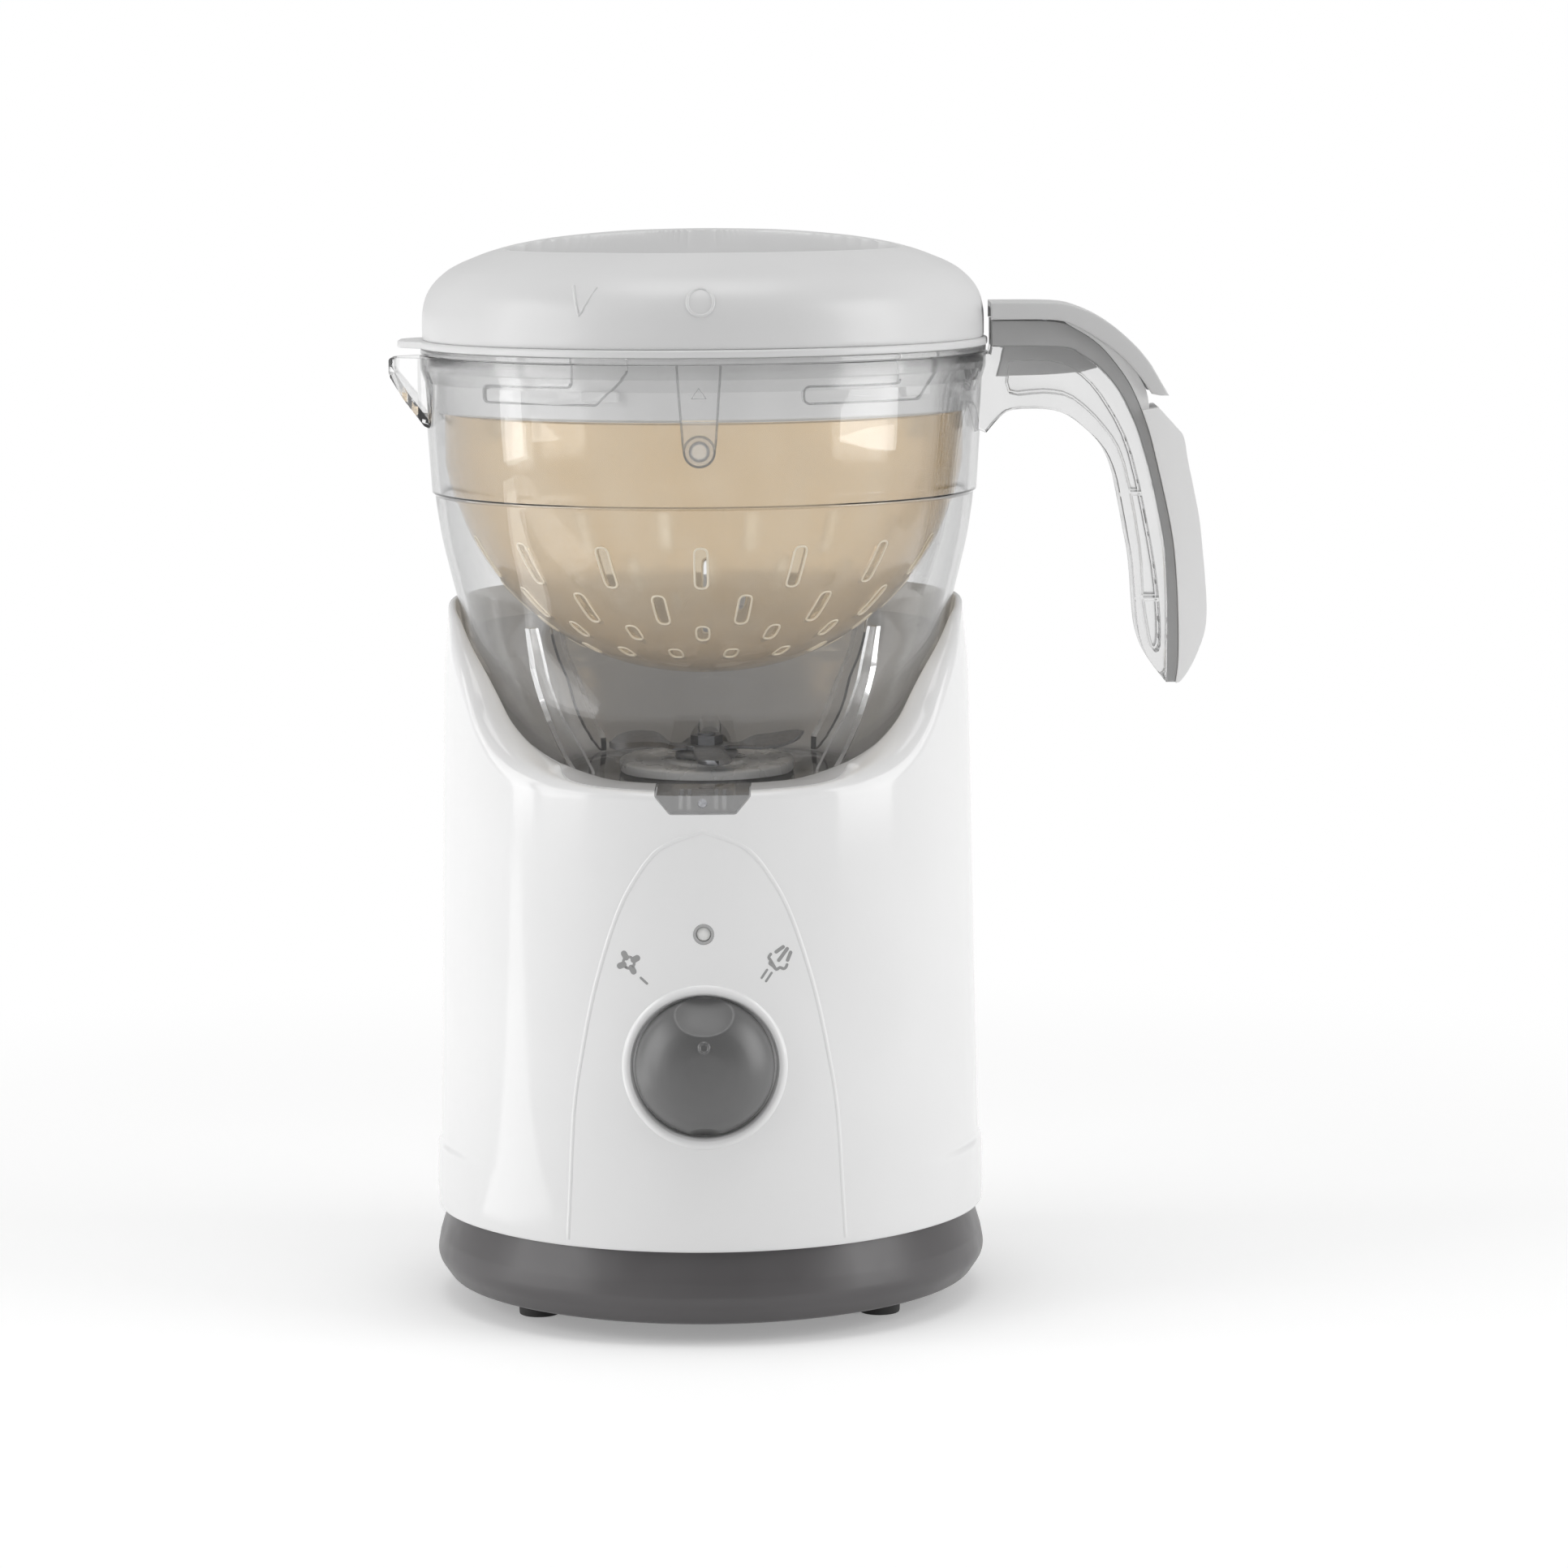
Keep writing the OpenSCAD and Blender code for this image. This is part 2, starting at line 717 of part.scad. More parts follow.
module lock_ring() {
  color(mid_grey) difference() {
    tube(29, 21.7, 144, 147.9);
    around(8) box(27.6, 30, -2, 2, 143, 149);
  }
}

module blade_bush() {
  color(brass_colour) tube(7, shaft_r + gap, 143.6, 151.1);
}

module shaft_seal() {
  color(rubber_colour) tube(7, shaft_r + 0.3, 151.1, 153.3);
}

module steam_valve() {
  color(silicone) translate([0, steam_y, 0]) {
    tube(3.3, 2.3, 151.4, 153.2);
    disc(3.3, 153.1, 154.2);
  }
}

module blade_shaft() {
  color(steel) {
    disc(shaft_r, 137, 156.1);
    disc(2.5, 156, 160.8);
  }
}

module blade_collar() {
  color(dark_grey) tube(9, shaft_r + gap, 153.7, 156.1);
}

// One arm: a strip bent along its length, narrowing to its tip
module blade_arm(bends, half_w) {
  strip = concat(bends, mirrored(moved(bends, 0, 1.2)));
  intersection() {
    side_plate(strip, 30);
    translate([0, 0, 150]) linear_extrude(20)
      polygon([[0, -half_w], [12, -half_w - 0.8], [24, -half_w], [28, -1.5], [28, 1], [24, half_w - 1],
               [12, half_w - 1.6], [0, half_w]]);
  }
}

module blades() {
  up = [[0, 156.1], [9, 156.1], [14, 157.2], [20, 157.8], [28, 159.8]];
  wave = [[0, 156.1], [9, 156.1], [14, 158.2], [20, 158.6], [28, 156.9]];
  down = [[0, 156.1], [9, 156.1], [14, 155.6], [20, 155.2], [27, 155.8]];
  color(steel) difference() {
    union() {
      rotate([0, 0, 8]) blade_arm(up, 4.2);
      rotate([0, 0, 188]) blade_arm(wave, 4.2);
      rotate([0, 0, 98]) blade_arm(up, 4.2);
      rotate([0, 0, 278]) blade_arm(down, 4.2);
      disc(7.5, 156.1, 157.3);
    }
    disc(2.5 + gap, 150, 165);
  }
}

module blade_nut() {
  color(steel) difference() {
    translate([0, 0, 157.3]) cylinder(r = 4.6, h = 2.8, $fn = 6);
    disc(2.5 + gap, 150, 165);
  }
}

module jug_coupling() {
  color(dark_grey) difference() {
    union() {
      disc(coupling_r, 140.4, 143.2);
      dog_ring(45, 136, 140.5);
    }
    disc(shaft_r + gap, 130, 150);
  }
}

// ---------------------------------------------------------------- basket

bowl_z = 252.4;
bowl_top_z = 253.4;
bowl_side_r = 73.2;
// Height of each ring of slots, its slots' height, and the turn of its first slot
slot_rings = [[213.6, 11.5, 0], [201.4, 8.6, 12], [194.2, 4.4, 0], [187.6, 2.8, 12]];
stud_z = 246;
stud_count = 3;
stud_r = 1.9;
stud_hole_r = 2;
channel_z = 258.4;      // floor of the bayonet channels
channel_top_z = 263.4;
// Where each tongue ends at the top: the front one stands between two channels
tongue_top = [262, 257.2, 257.2];

module bowl_solid(inset) {
  intersection() {
    translate([0, 0, bowl_z]) sphere(r = bowl_r - inset);
    disc(bowl_side_r - inset, 170, bowl_top_z);
  }
}

module basket() {
  color(amber) difference() {
    bowl_solid(0);
    bowl_solid(bowl_wall);
    disc(bowl_side_r - bowl_wall, bowl_z - 2, bowl_top_z + 1);
    for (ring = slot_rings)
      around(slots_per_ring, ring[2] - 90)
        box(20, 80, -slot_w / 2, slot_w / 2, ring[0] - ring[1] / 2, ring[0] + ring[1] / 2);
    around(stud_count, -90) translate([70, 0, stud_z]) rotate([0, 90, 0]) cylinder(r = stud_hole_r, h = 10);
  }
}

// The bayonet channel in the collar: a mouth at the top and a level run to its closed end
channel_mouth = -20.8 - 90;

module channel() {
  sector(73, 75.3, channel_mouth - 6.2, channel_mouth + 6.2, channel_z, 275);
  sector(73, 75.2, channel_mouth - 29.8, channel_mouth, channel_z, channel_top_z);
}

module basket_collar() {
  color(clear) difference() {
    union() {
      revolve([[74, 253.8], [75.8, 253.8], [75.8, collar_z], [79.8, collar_z], [79.8, 271.1], [74, 271.1]]);
      for (i = [0 : stud_count - 1]) rotate([0, 0, -90 + i * 360 / stud_count]) intersection() {
        tube(74.7, 73.4, 241.4, tongue_top[i]);
        union() {
          box(60, 80, -4.2, 4.2, stud_z, 270);
          translate([60, 0, stud_z]) rotate([0, 90, 0]) cylinder(r = 4.2, h = 20);
        }
      }
    }
    around(bayonets) channel();
    around(stud_count, -90) translate([70, 0, stud_z]) rotate([0, 90, 0]) cylinder(r = stud_hole_r, h = 10);
  }
}

module basket_studs() {
  color(clear) around(stud_count, -90) translate([0, 0, stud_z]) rotate([0, 90, 0]) {
    translate([0, 0, 69.9]) cylinder(r = stud_r, h = 5);
    translate([0, 0, 69.9]) cylinder(r = 3.6, h = 1.3);
    translate([0, 0, 74.75]) cylinder(r = 2.6, h = 0.4);
  }
}

// ---------------------------------------------------------------- lid

skirt_out_r = 72.9;
skirt_in_r = 71.2;

module lid_gasket() {
  color(silicone) tube(73.9, 73, 268.6, 271.2);
}

module lid_dome() {
  dome_outer = [[dome_r, dome_z], [dome_r, 281], [dome_r - 1.3, 286], [dome_r - 4.8, 290.6], [67.6, 295],
                [60, 297.9], [52, 300], [40, crown_z - 2.1], [20, crown_z - 0.5], [0, crown_z]];
  dome_inner = [[0, crown_z - 2.2], [20, crown_z - 2.7], [40, crown_z - 4.3], [52, 297.7], [60, 295.5],
                [66.5, 292.6], [72.4, 288.8], [75.7, 284.6], [77, 280], [77, dome_z]];
  pocket_r = 57;
  pocket_z = 290;
  wall = 2.2;
  color(white) difference() {
    union() {
      revolve(concat(dome_outer, dome_inner));
      intersection() {
        revolve(concat([[0, 280]], dome_outer));
        difference() {
          disc(pocket_r + wall, pocket_z - wall, crown_z + 1);
          box(-far, far, -grip_bar_half_w + wall, grip_bar_half_w - wall, 280, crown_z - wall);
        }
      }
    }
    difference() {
      disc(pocket_r, pocket_z, crown_z + 1);
      box(-far, far, -grip_bar_half_w, grip_bar_half_w, 280, crown_z + 2);
    }
  }
}

module lid_skirt() {
  lug_half = 4;
  color(white) {
    tube(80.2, 70, flange_z, dome_z);
    intersection() {
      translate([0, 0, flange_z]) linear_extrude(dome_z - flange_z)
        polygon([[-74, -20], [-84, -11], [-86, -6], [-86, 6], [-84, 11], [-74, 20]]);
      tube(90, 76, 270, 275);
    }
    tube(skirt_out_r, skirt_in_r, 254.5, flange_z + 0.1);
    around(bayonets)
      sector(skirt_out_r - 0.5, 75, channel_mouth - lug_half, channel_mouth + lug_half, 259.3, 262.6);
  }
}

// ---------------------------------------------------------------- the tree

housing();
base_dish();
rubber_feet();
screws();
cradle();
drive_gasket();
motor_top_bracket();
motor_bottom_bracket();
motor_bolts();
motor_grommets();
top_bearing();
bottom_bearing();
stator_core();
field_coils();
brush_holders();
carbon_brushes();
boiler_tank();
boiler_cover();
heating_element();
thermostat();
steam_pipe();
steam_seal();
rotary_switch();
control_board();
board_parts();
jug_sensor();
lamp_pipe();
lamp_ring();
cord_gland();
motor_shaft();
rotor_core();
commutator();
cooling_fan();
drive_coupling();
knob();
knob_shaft();
jug();
handle_band();
handle_grip();
lever_pin();
lever_spring();
blade_base();
jug_seal();
lock_ring();
blade_bush();
shaft_seal();
tab_magnet();
steam_valve();
blades();
blade_shaft();
blade_collar();
blade_nut();
jug_coupling();
basket();
basket_collar();
basket_studs();
lid_gasket();
lid_dome();
lid_skirt();
release_lever();
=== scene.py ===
"""Baby food maker: the pieces that show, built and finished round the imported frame.

Sizes are in millimetres until a mesh is made. +Z is up, the knob faces -Y and the handle +X.
"""

import json
import logging
import math
from contextlib import contextmanager
from dataclasses import dataclass
from enum import Enum
from typing import Any, Callable, Iterable, Iterator, Sequence

import bmesh
import bpy
import numpy as np
from mathutils import Matrix


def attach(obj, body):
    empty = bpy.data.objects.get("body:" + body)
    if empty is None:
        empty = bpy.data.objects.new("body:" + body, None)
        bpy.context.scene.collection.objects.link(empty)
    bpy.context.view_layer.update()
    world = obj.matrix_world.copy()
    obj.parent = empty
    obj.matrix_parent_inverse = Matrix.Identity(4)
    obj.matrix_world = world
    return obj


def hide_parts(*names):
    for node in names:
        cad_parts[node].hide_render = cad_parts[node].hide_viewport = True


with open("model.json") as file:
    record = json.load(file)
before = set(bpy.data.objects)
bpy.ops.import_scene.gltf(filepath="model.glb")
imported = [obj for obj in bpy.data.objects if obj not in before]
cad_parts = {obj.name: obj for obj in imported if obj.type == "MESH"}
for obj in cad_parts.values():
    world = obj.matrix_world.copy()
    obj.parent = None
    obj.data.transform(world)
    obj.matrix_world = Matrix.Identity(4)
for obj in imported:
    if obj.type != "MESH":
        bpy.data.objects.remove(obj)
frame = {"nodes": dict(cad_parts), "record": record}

logging.basicConfig(level=logging.INFO, format="%(message)s")
LOG = logging.getLogger("food_maker")

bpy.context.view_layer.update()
MM = 0.001
FULL_TURN = 2 * math.pi

# Places that more than one sub-assembly shares: axis heights at the front and back, and the steam way behind.
KNOB_Z, LAMP_Z, CORD_Z = 78.0, 114.7, 42.0
STEAM_Y = 50.0
# The bayonet joint between lid and collar: how many, and the angle of the first.
BAYONETS, BAYONET_AT = 5, -110.8

Piece = bpy.types.Object
Tree = bpy.types.NodeTree
Node = bpy.types.Node
Socket = bpy.types.NodeSocket
Point = tuple[float, ...]
Outline = list[tuple[float, float]]


class Body(str, Enum):
    """The bodies of the frame that pieces ride on."""

    BASE = "base"
    KNOB = "knob"
    JUG = "jug"
    BLADE = "blade"
    BASKET = "basket"
    LID = "lid"
    LEVER = "lever"


# ---------------------------------------------------------------- nodes and colours


def linear(colour: str) -> tuple[float, float, float, float]:
    """Turns an sRGB hex colour into linear light.

    Args:
        colour: Six hex digits after a hash.

    Returns:
        Red, green, blue and an alpha of 1.
    """
    parts = [int(colour[i:i + 2], 16) / 255 for i in (1, 3, 5)]
    light = [c / 12.92 if c <= 0.04045 else ((c + 0.055) / 1.055) ** 2.4 for c in parts]
    return (*light, 1.0)


def add_node(tree: Tree, kind: str, inputs: dict[Any, Any] | None = None, **settings: Any) -> Node:
    """Adds a node with its settings, values and links.

    Args:
        tree: The tree it goes into.
        kind: The node's type name.
        inputs: Socket name or number to a value, or to the output socket that feeds it.
        settings: The node's own settings.

    Returns:
        The new node.
    """
    node = tree.nodes.new(kind)
    for name, value in settings.items():
        setattr(node, name, value)
    for key, value in (inputs or {}).items():
        if isinstance(value, Socket):
            tree.links.new(value, node.inputs[key])
        else:
            node.inputs[key].default_value = value
    return node


def ray_is(tree: Tree, *kinds: str) -> Socket:
    """Tells whether a ray is of one of some kinds.

    Args:
        tree: The tree that asks.
        kinds: Names of the light path's outputs.

    Returns:
        The output that is 1 for such a ray and 0 for others.
    """
    path = add_node(tree, "ShaderNodeLightPath")
    found = path.outputs[kinds[0]]
    for kind in kinds[1:]:
        found = add_node(tree, "ShaderNodeMath", {0: found, 1: path.outputs[kind]},
                         operation="MAXIMUM").outputs[0]
    return found


class Finish:
    """A material that is made once and shared by every piece that asks for it."""

    _made: dict[str, bpy.types.Material] = {}
    name: str

    def material(self) -> bpy.types.Material:
        """Makes the material on first use.

        Returns:
            The finished material.
        """
        if self.name not in Finish._made:
            made = bpy.data.materials.new(self.name)
            made.use_nodes = True
            made.node_tree.nodes.clear()
            self.build(made.node_tree)
            Finish._made[self.name] = made
        return Finish._made[self.name]

    def build(self, tree: Tree) -> None:
        """Fills the material's tree; each finish has its own."""
        raise NotImplementedError

    def shader(self, tree: Tree, inputs: dict[Any, Any]) -> None:
        """Adds the surface shader, with its values and links, and the output it feeds."""
        node = add_node(tree, "ShaderNodeBsdfPrincipled", inputs)
        add_node(tree, "ShaderNodeOutputMaterial", {"Surface": node.outputs["BSDF"]})

    def noise(self, tree: Tree, size_mm: float, detail: float, stretch: Point = (1.0, 1.0, 1.0)) -> Socket:
        """Adds a noise pattern of a real size.

        Args:
            tree: The material's tree.
            size_mm: Width of one blotch.
            detail: Octaves of finer noise.
            stretch: How much the pattern is squeezed along each axis.

        Returns:
            The pattern's output, from 0 to 1.
        """
        place = add_node(tree, "ShaderNodeTexCoord").outputs["Object"]
        place = add_node(tree, "ShaderNodeMapping", {"Vector": place, "Scale": stretch}).outputs["Vector"]
        return add_node(tree, "ShaderNodeTexNoise",
                        {"Vector": place, "Scale": 1 / (size_mm * MM), "Detail": detail}).outputs[0]

    def between(self, tree: Tree, factor: Socket, low: float, high: float) -> Socket:
        """Turns a pattern of 0 to 1 into values from low to high, and returns the output with them."""
        ends = {"From Min": 0.3, "From Max": 0.7, "To Min": low, "To Max": high}
        return add_node(tree, "ShaderNodeMapRange", {"Value": factor, **ends}).outputs["Result"]

    def tones(self, tree: Tree, factor: Socket, first: str, second: str) -> Socket:
        """Mixes two close tones by a pattern.

        Args:
            tree: The material's tree.
            factor: The pattern.
            first: Colour where the pattern is low.
            second: Colour where it is high.

        Returns:
            The colour output.
        """
        spread = self.between(tree, factor, 0.0, 1.0)
        return add_node(tree, "ShaderNodeMix", {0: spread, 6: linear(first), 7: linear(second)},
                        data_type="RGBA").outputs[2]

    def bump(self, tree: Tree, height: Socket, depth_mm: float) -> Socket:
        """Turns a pattern into relief of a real depth, and returns the normal output."""
        return add_node(tree, "ShaderNodeBump", {"Height": height, "Distance": depth_mm * MM,
                                                 "Strength": 1.0}).outputs["Normal"]


@dataclass(frozen=True)
class MouldedPlastic(Finish):
    """Injection-moulded ABS or polypropylene: an even colour whose gloss wavers where the melt flowed."""

    name: str
    colour: str
    tone: str
    roughness: float = 0.3
    grain_mm: float = 1.6
    grain_depth: float = 0.004
    ior: float = 1.53
    coat: float = 0.0
    coat_roughness: float = 0.06
    flow_mm: float = 42.0
    gloss_mm: float = 9.0

    def build(self, tree: Tree) -> None:
        """Adds broad flow tones, and a grain from the tool's surface that is drawn coarse enough to show.

        Args:
            tree: The material's tree.
        """
        flow = self.noise(tree, self.flow_mm, 1.0)
        grain = self.noise(tree, self.grain_mm, 0.0)
        gloss = self.between(tree, self.noise(tree, self.gloss_mm, 2.0), self.roughness * 0.88,
                             self.roughness * 1.14)
        self.shader(tree, {"Base Color": self.tones(tree, flow, self.colour, self.tone),
                           "Roughness": gloss, "IOR": self.ior, "Coat Weight": self.coat,
                           "Coat Roughness": self.coat_roughness,
                           "Normal": self.bump(tree, grain, self.grain_depth)})


@dataclass(frozen=True)
class ClearPlastic(Finish):
    """Clear copolyester or styrene: bends light like thin glass, with faint flow lines from the gate."""

    name: str
    tint: str
    tone: str
    roughness: float = 0.02
    # Colour of the painted shade on a wall seen on its edge.
    edge: str = "#4c4e4e"
    shade: str = "#ffffff"
    edge_shade_power: float = 2.3
    clarity: float = 1.0
    ior: float = 1.54
    ripple_mm: float = 16.0
    ripple_depth: float = 0.03
    haze_mm: float = 6.0

    def build(self, tree: Tree) -> None:
        """Adds flow lines up the wall, and darkens a wall seen on its edge: painted shade for the dark edges
        of clear plastic, as well as light crossing more of it.

        Rays from the lamps and from matt faces pass straight through, so that what stands inside is lit.

        Args:
            tree: The material's tree.
        """
        flow = self.noise(tree, self.ripple_mm, 1.0, (1.0, 1.0, 0.35))
        haze = self.between(tree, self.noise(tree, self.haze_mm, 2.0), self.roughness * 0.7,
                            self.roughness * 1.3)
        # Painted shade, which also stands in for the longer way through the wall: the colour goes towards the
        # edge colour as the wall is seen more on its edge.
        facing = add_node(tree, "ShaderNodeLayerWeight", {"Blend": 0.5}).outputs["Facing"]
        depth = add_node(tree, "ShaderNodeMath", {0: facing, 1: self.edge_shade_power},
                         operation="POWER").outputs[0]
        body = add_node(tree, "ShaderNodeMix", {0: depth, 6: self.tones(tree, flow, self.tint, self.tone),
                                                7: linear(self.edge)}, data_type="RGBA")
        glass = add_node(tree, "ShaderNodeBsdfPrincipled", {
            "Base Color": body.outputs[2], "Roughness": haze, "IOR": self.ior,
            "Transmission Weight": self.clarity,
            "Normal": self.bump(tree, flow, self.ripple_depth)})
        lamp_ray = ray_is(tree, "Is Shadow Ray", "Is Diffuse Ray")
        open_way = add_node(tree, "ShaderNodeBsdfTransparent", {"Color": linear(self.shade)})
        both = add_node(tree, "ShaderNodeMixShader", {0: lamp_ray, 1: glass.outputs["BSDF"],
                                                      2: open_way.outputs["BSDF"]})
        add_node(tree, "ShaderNodeOutputMaterial", {"Surface": both.outputs["Shader"]})


@dataclass(frozen=True)
class Metal(Finish):
    """Bare metal, ground or stamped: its colour comes from the metal and its blur from the scratches."""

    name: str
    colour: str
    tone: str
    roughness: float = 0.25
    brush_mm: float = 0.5
    stretch: Point = (1.0, 1.0, 1.0)
    scratch_depth: float = 0.004

    def build(self, tree: Tree) -> None:
        """Adds fine scratches along one direction, which vary the blur and the relief.

        Args:
            tree: The material's tree.
        """
        scratch = self.noise(tree, self.brush_mm, 3.0, self.stretch)
        blur = self.between(tree, scratch, self.roughness * 0.75, self.roughness * 1.25)
        self.shader(tree, {"Base Color": self.tones(tree, scratch, self.colour, self.tone), "Metallic": 1.0,
                           "Roughness": blur, "Normal": self.bump(tree, scratch, self.scratch_depth)})


@dataclass(frozen=True)
class Rubber(Finish):
    """Moulded rubber or silicone: soft sheen, no clear reflections, a slight bloom on its faces."""

    name: str
    colour: str
    tone: str
    roughness: float = 0.62
    sheen: float = 0.15
    bloom_mm: float = 5.0
    pore_mm: float = 0.6
    pore_depth: float = 0.01

    def build(self, tree: Tree) -> None:
        """Adds a bloom over a few millimetres, and the pores of the mould.

        Args:
            tree: The material's tree.
        """
        bloom = self.noise(tree, self.bloom_mm, 3.0)
        pores = self.noise(tree, self.pore_mm, 2.0)
        self.shader(tree, {"Base Color": self.tones(tree, bloom, self.colour, self.tone), "IOR": 1.45,
                           "Roughness": self.between(tree, bloom, self.roughness, self.roughness * 1.15),
                           "Sheen Weight": self.sheen, "Normal": self.bump(tree, pores, self.pore_depth)})


@dataclass(frozen=True)
class CircuitBoard(Finish):
    """Glass-epoxy board under green solder mask, whose copper tracks show as paler lines."""

    name: str = "circuit_board_epoxy"
    pitch_mm: float = 3.2
    track: float = 0.07

    def build(self, tree: Tree) -> None:
        """Adds tracks a few millimetres apart, in steps.

        Args:
            tree: The material's tree.
        """
        place = add_node(tree, "ShaderNodeTexCoord").outputs["Object"]
        cells = add_node(tree, "ShaderNodeTexVoronoi", {"Vector": place, "Scale": 1 / (self.pitch_mm * MM)},
                         distance="CHEBYCHEV", feature="DISTANCE_TO_EDGE")
        step = add_node(tree, "ShaderNodeMath", {0: cells.outputs["Distance"], 1: self.track},
                        operation="LESS_THAN")
        mix = add_node(tree, "ShaderNodeMix", {0: step.outputs[0], 6: linear("#1f5a36"),
                                               7: linear("#3c8a5a")}, data_type="RGBA")
        self.shader(tree, {"Base Color": mix.outputs[2], "Roughness": 0.35, "IOR": 1.55})


WHITE_ABS = MouldedPlastic("abs_gloss_white", "#f6f6f6", "#f3f3f3", 0.1, 9.0, 0.006)
LID_PP = MouldedPlastic("polypropylene_satin_white", "#e4e4e4", "#e0e0e0", 0.32)
BASE_GREY = MouldedPlastic("abs_satin_dark_grey", "#5c5a5b", "#575556", 0.34, 8.0)
KNOB_GREY = MouldedPlastic("abs_satin_knob_grey", "#565656", "#525252", 0.42, 8.0, ior=1.6, coat=1.0,
                           coat_roughness=0.4)
SEAT_GREY = MouldedPlastic("abs_satin_seat_grey", "#dcdcdd", "#d7d7d8", 0.2, 8.0)
BAND_GREY = MouldedPlastic("abs_satin_band_grey", "#b4b4b4", "#b0b0b0", 0.42, 8.0)
GRIP_GREY = MouldedPlastic("soft_touch_light_grey", "#f4f4f4", "#f1f1f1", 0.5, 8.0)
LEVER_GREY = MouldedPlastic("abs_satin_lever_grey", "#dadada", "#d6d6d6", 0.42, 8.0)
PRINT_GREY = MouldedPlastic("pad_print_ink_grey", "#a2a2a2", "#9c9c9c", 0.45)
CLEAR = ClearPlastic("copolyester_clear", "#fafafa", "#f7f7f7")
# Greyer clear plastic for the handle's frame and the jug's rim: the thicker moulding, plus painted shade for
# the frame's soft grey shading.
CLEAR_THICK_SHADED = ClearPlastic("copolyester_clear_thick_shaded", "#e6e6e6", "#e1e1e1", 0.14, "#8c8d8d")
# Darker clear plastic for the beads on the collar's edges: painted shade for their dark lines.
CLEAR_EDGE_SHADE = ClearPlastic("copolyester_edge_shade", "#c9caca", "#c2c3c3", edge="#3a3b3b", edge_shade_power=1.6)
CLEAR_COLLAR = ClearPlastic("copolyester_frosted", "#f8f8f8", "#f4f4f4", 0.07, "#8e8f8f", "#fbfbfb",
                            clarity=0.92)
AMBER = ClearPlastic("polypropylene_amber", "#f6e8d0", "#f2e0c1", 0.1, "#b39562", "#f8f5f0",
                     clarity=0.78, ripple_mm=12.0)
# Paler, milkier amber for the slots' rims: painted light on the slots' cut walls.
AMBER_LIT_RIM = ClearPlastic("polypropylene_amber_lit_rim", "#fbf3e2", "#f8eed9", 0.2, "#e2d2b2", "#faf3e6",
                          clarity=0.35)
CLEAR_TAB = ClearPlastic("copolyester_tab", "#cfcfcf", "#c6c6c6", 0.16, "#858585", clarity=0.55)
MILKY = ClearPlastic("acrylic_milky", "#f2f2f1", "#ececeb", 0.3, "#c4c4c4", clarity=0.3)
OPAL = MouldedPlastic("acrylic_opal", "#f0f0ee", "#ebebe9", 0.25)
BLACK_RUBBER = Rubber("rubber_black", "#4a4a4a", "#434343")
SILICONE = Rubber("silicone_pale", "#d8d8d8", "#d0d0d0", 0.5)
STEEL = Metal("stainless_steel_ground", "#b4b5b8", "#9d9ea2", 0.24, stretch=(1.0, 0.15, 1.0))
# A darker copy of the steel for the blades, their nut and their shaft: painted shade for how dark they show
# inside the jug.
BLADE_STEEL_SHADED = Metal("stainless_steel_blade_shaded", "#7e7f82", "#727376", 0.36, stretch=(0.3, 1.0, 1.0))
ALLOY = Metal("aluminium_die_cast", "#b9bbbd", "#a9abad", 0.45, 1.2)
BRASS = Metal("brass_turned", "#c8a860", "#b39450", 0.3, stretch=(1.0, 1.0, 0.2))
COPPER = Metal("copper_enamelled_wire", "#b26a3c", "#8e4f2a", 0.35, stretch=(0.2, 0.2, 1.0))
CARBON = Rubber("carbon_graphite", "#33343a", "#2a2b30", 0.5, 0.0)
BLACK_MOULDED = MouldedPlastic("nylon_moulded_black", "#3a3a3c", "#333335", 0.45)
BOARD = CircuitBoard()

SLOT_FINISH: dict[str, Finish] = {
    "casing_white": WHITE_ABS, "lid_white": LID_PP, "base_grey": BASE_GREY, "knob_grey": KNOB_GREY,
    "seat_grey": SEAT_GREY, "band_grey": BAND_GREY, "grip_grey": GRIP_GREY, "clear_plastic": CLEAR,
    "amber_plastic": AMBER, "milky_plastic": MILKY, "rubber_black": BLACK_RUBBER, "silicone": SILICONE,
    "steel": STEEL, "alloy": ALLOY, "brass": BRASS, "copper": COPPER, "carbon": CARBON,
    "moulded_black": BLACK_MOULDED, "circuit_board": BOARD,
}
# The blade's nut and shaft take the darker, shaded copy of the steel.
NODE_FINISH: dict[str, Finish] = {"steam_valve": MILKY, "blade_nut": BLADE_STEEL_SHADED, "blade_shaft": BLADE_STEEL_SHADED}


# ---------------------------------------------------------------- curves and meshes


def along(x: float | np.ndarray, table: Sequence[tuple[float, float]]) -> Any:
    """Reads a smooth curve through a table of points that never overshoots them.

    Args:
        x: Where to read, one number or an array.
        table: Pairs of place and value, in order of place.

    Returns:
        The value or values there.
    """
    xs, ys = np.array(table, float).T
    gaps, rise = np.diff(xs), np.diff(ys) / np.diff(xs)
    slope = np.zeros(len(xs))
    for i in range(1, len(xs) - 1):
        if rise[i - 1] * rise[i] > 0:
            w1, w2 = 2 * gaps[i] + gaps[i - 1], gaps[i] + 2 * gaps[i - 1]
            slope[i] = (w1 + w2) / (w1 / rise[i - 1] + w2 / rise[i])
    slope[0], slope[-1] = rise[0], rise[-1]
    x = np.clip(x, xs[0], xs[-1])
    i = np.clip(np.searchsorted(xs, x, side="right") - 1, 0, len(xs) - 2)
    t = (x - xs[i]) / gaps[i]
    return (ys[i] * (1 + 2 * t) * (1 - t) ** 2 + slope[i] * gaps[i] * t * (1 - t) ** 2
            + ys[i + 1] * t * t * (3 - 2 * t) + slope[i + 1] * gaps[i] * t * t * (t - 1))


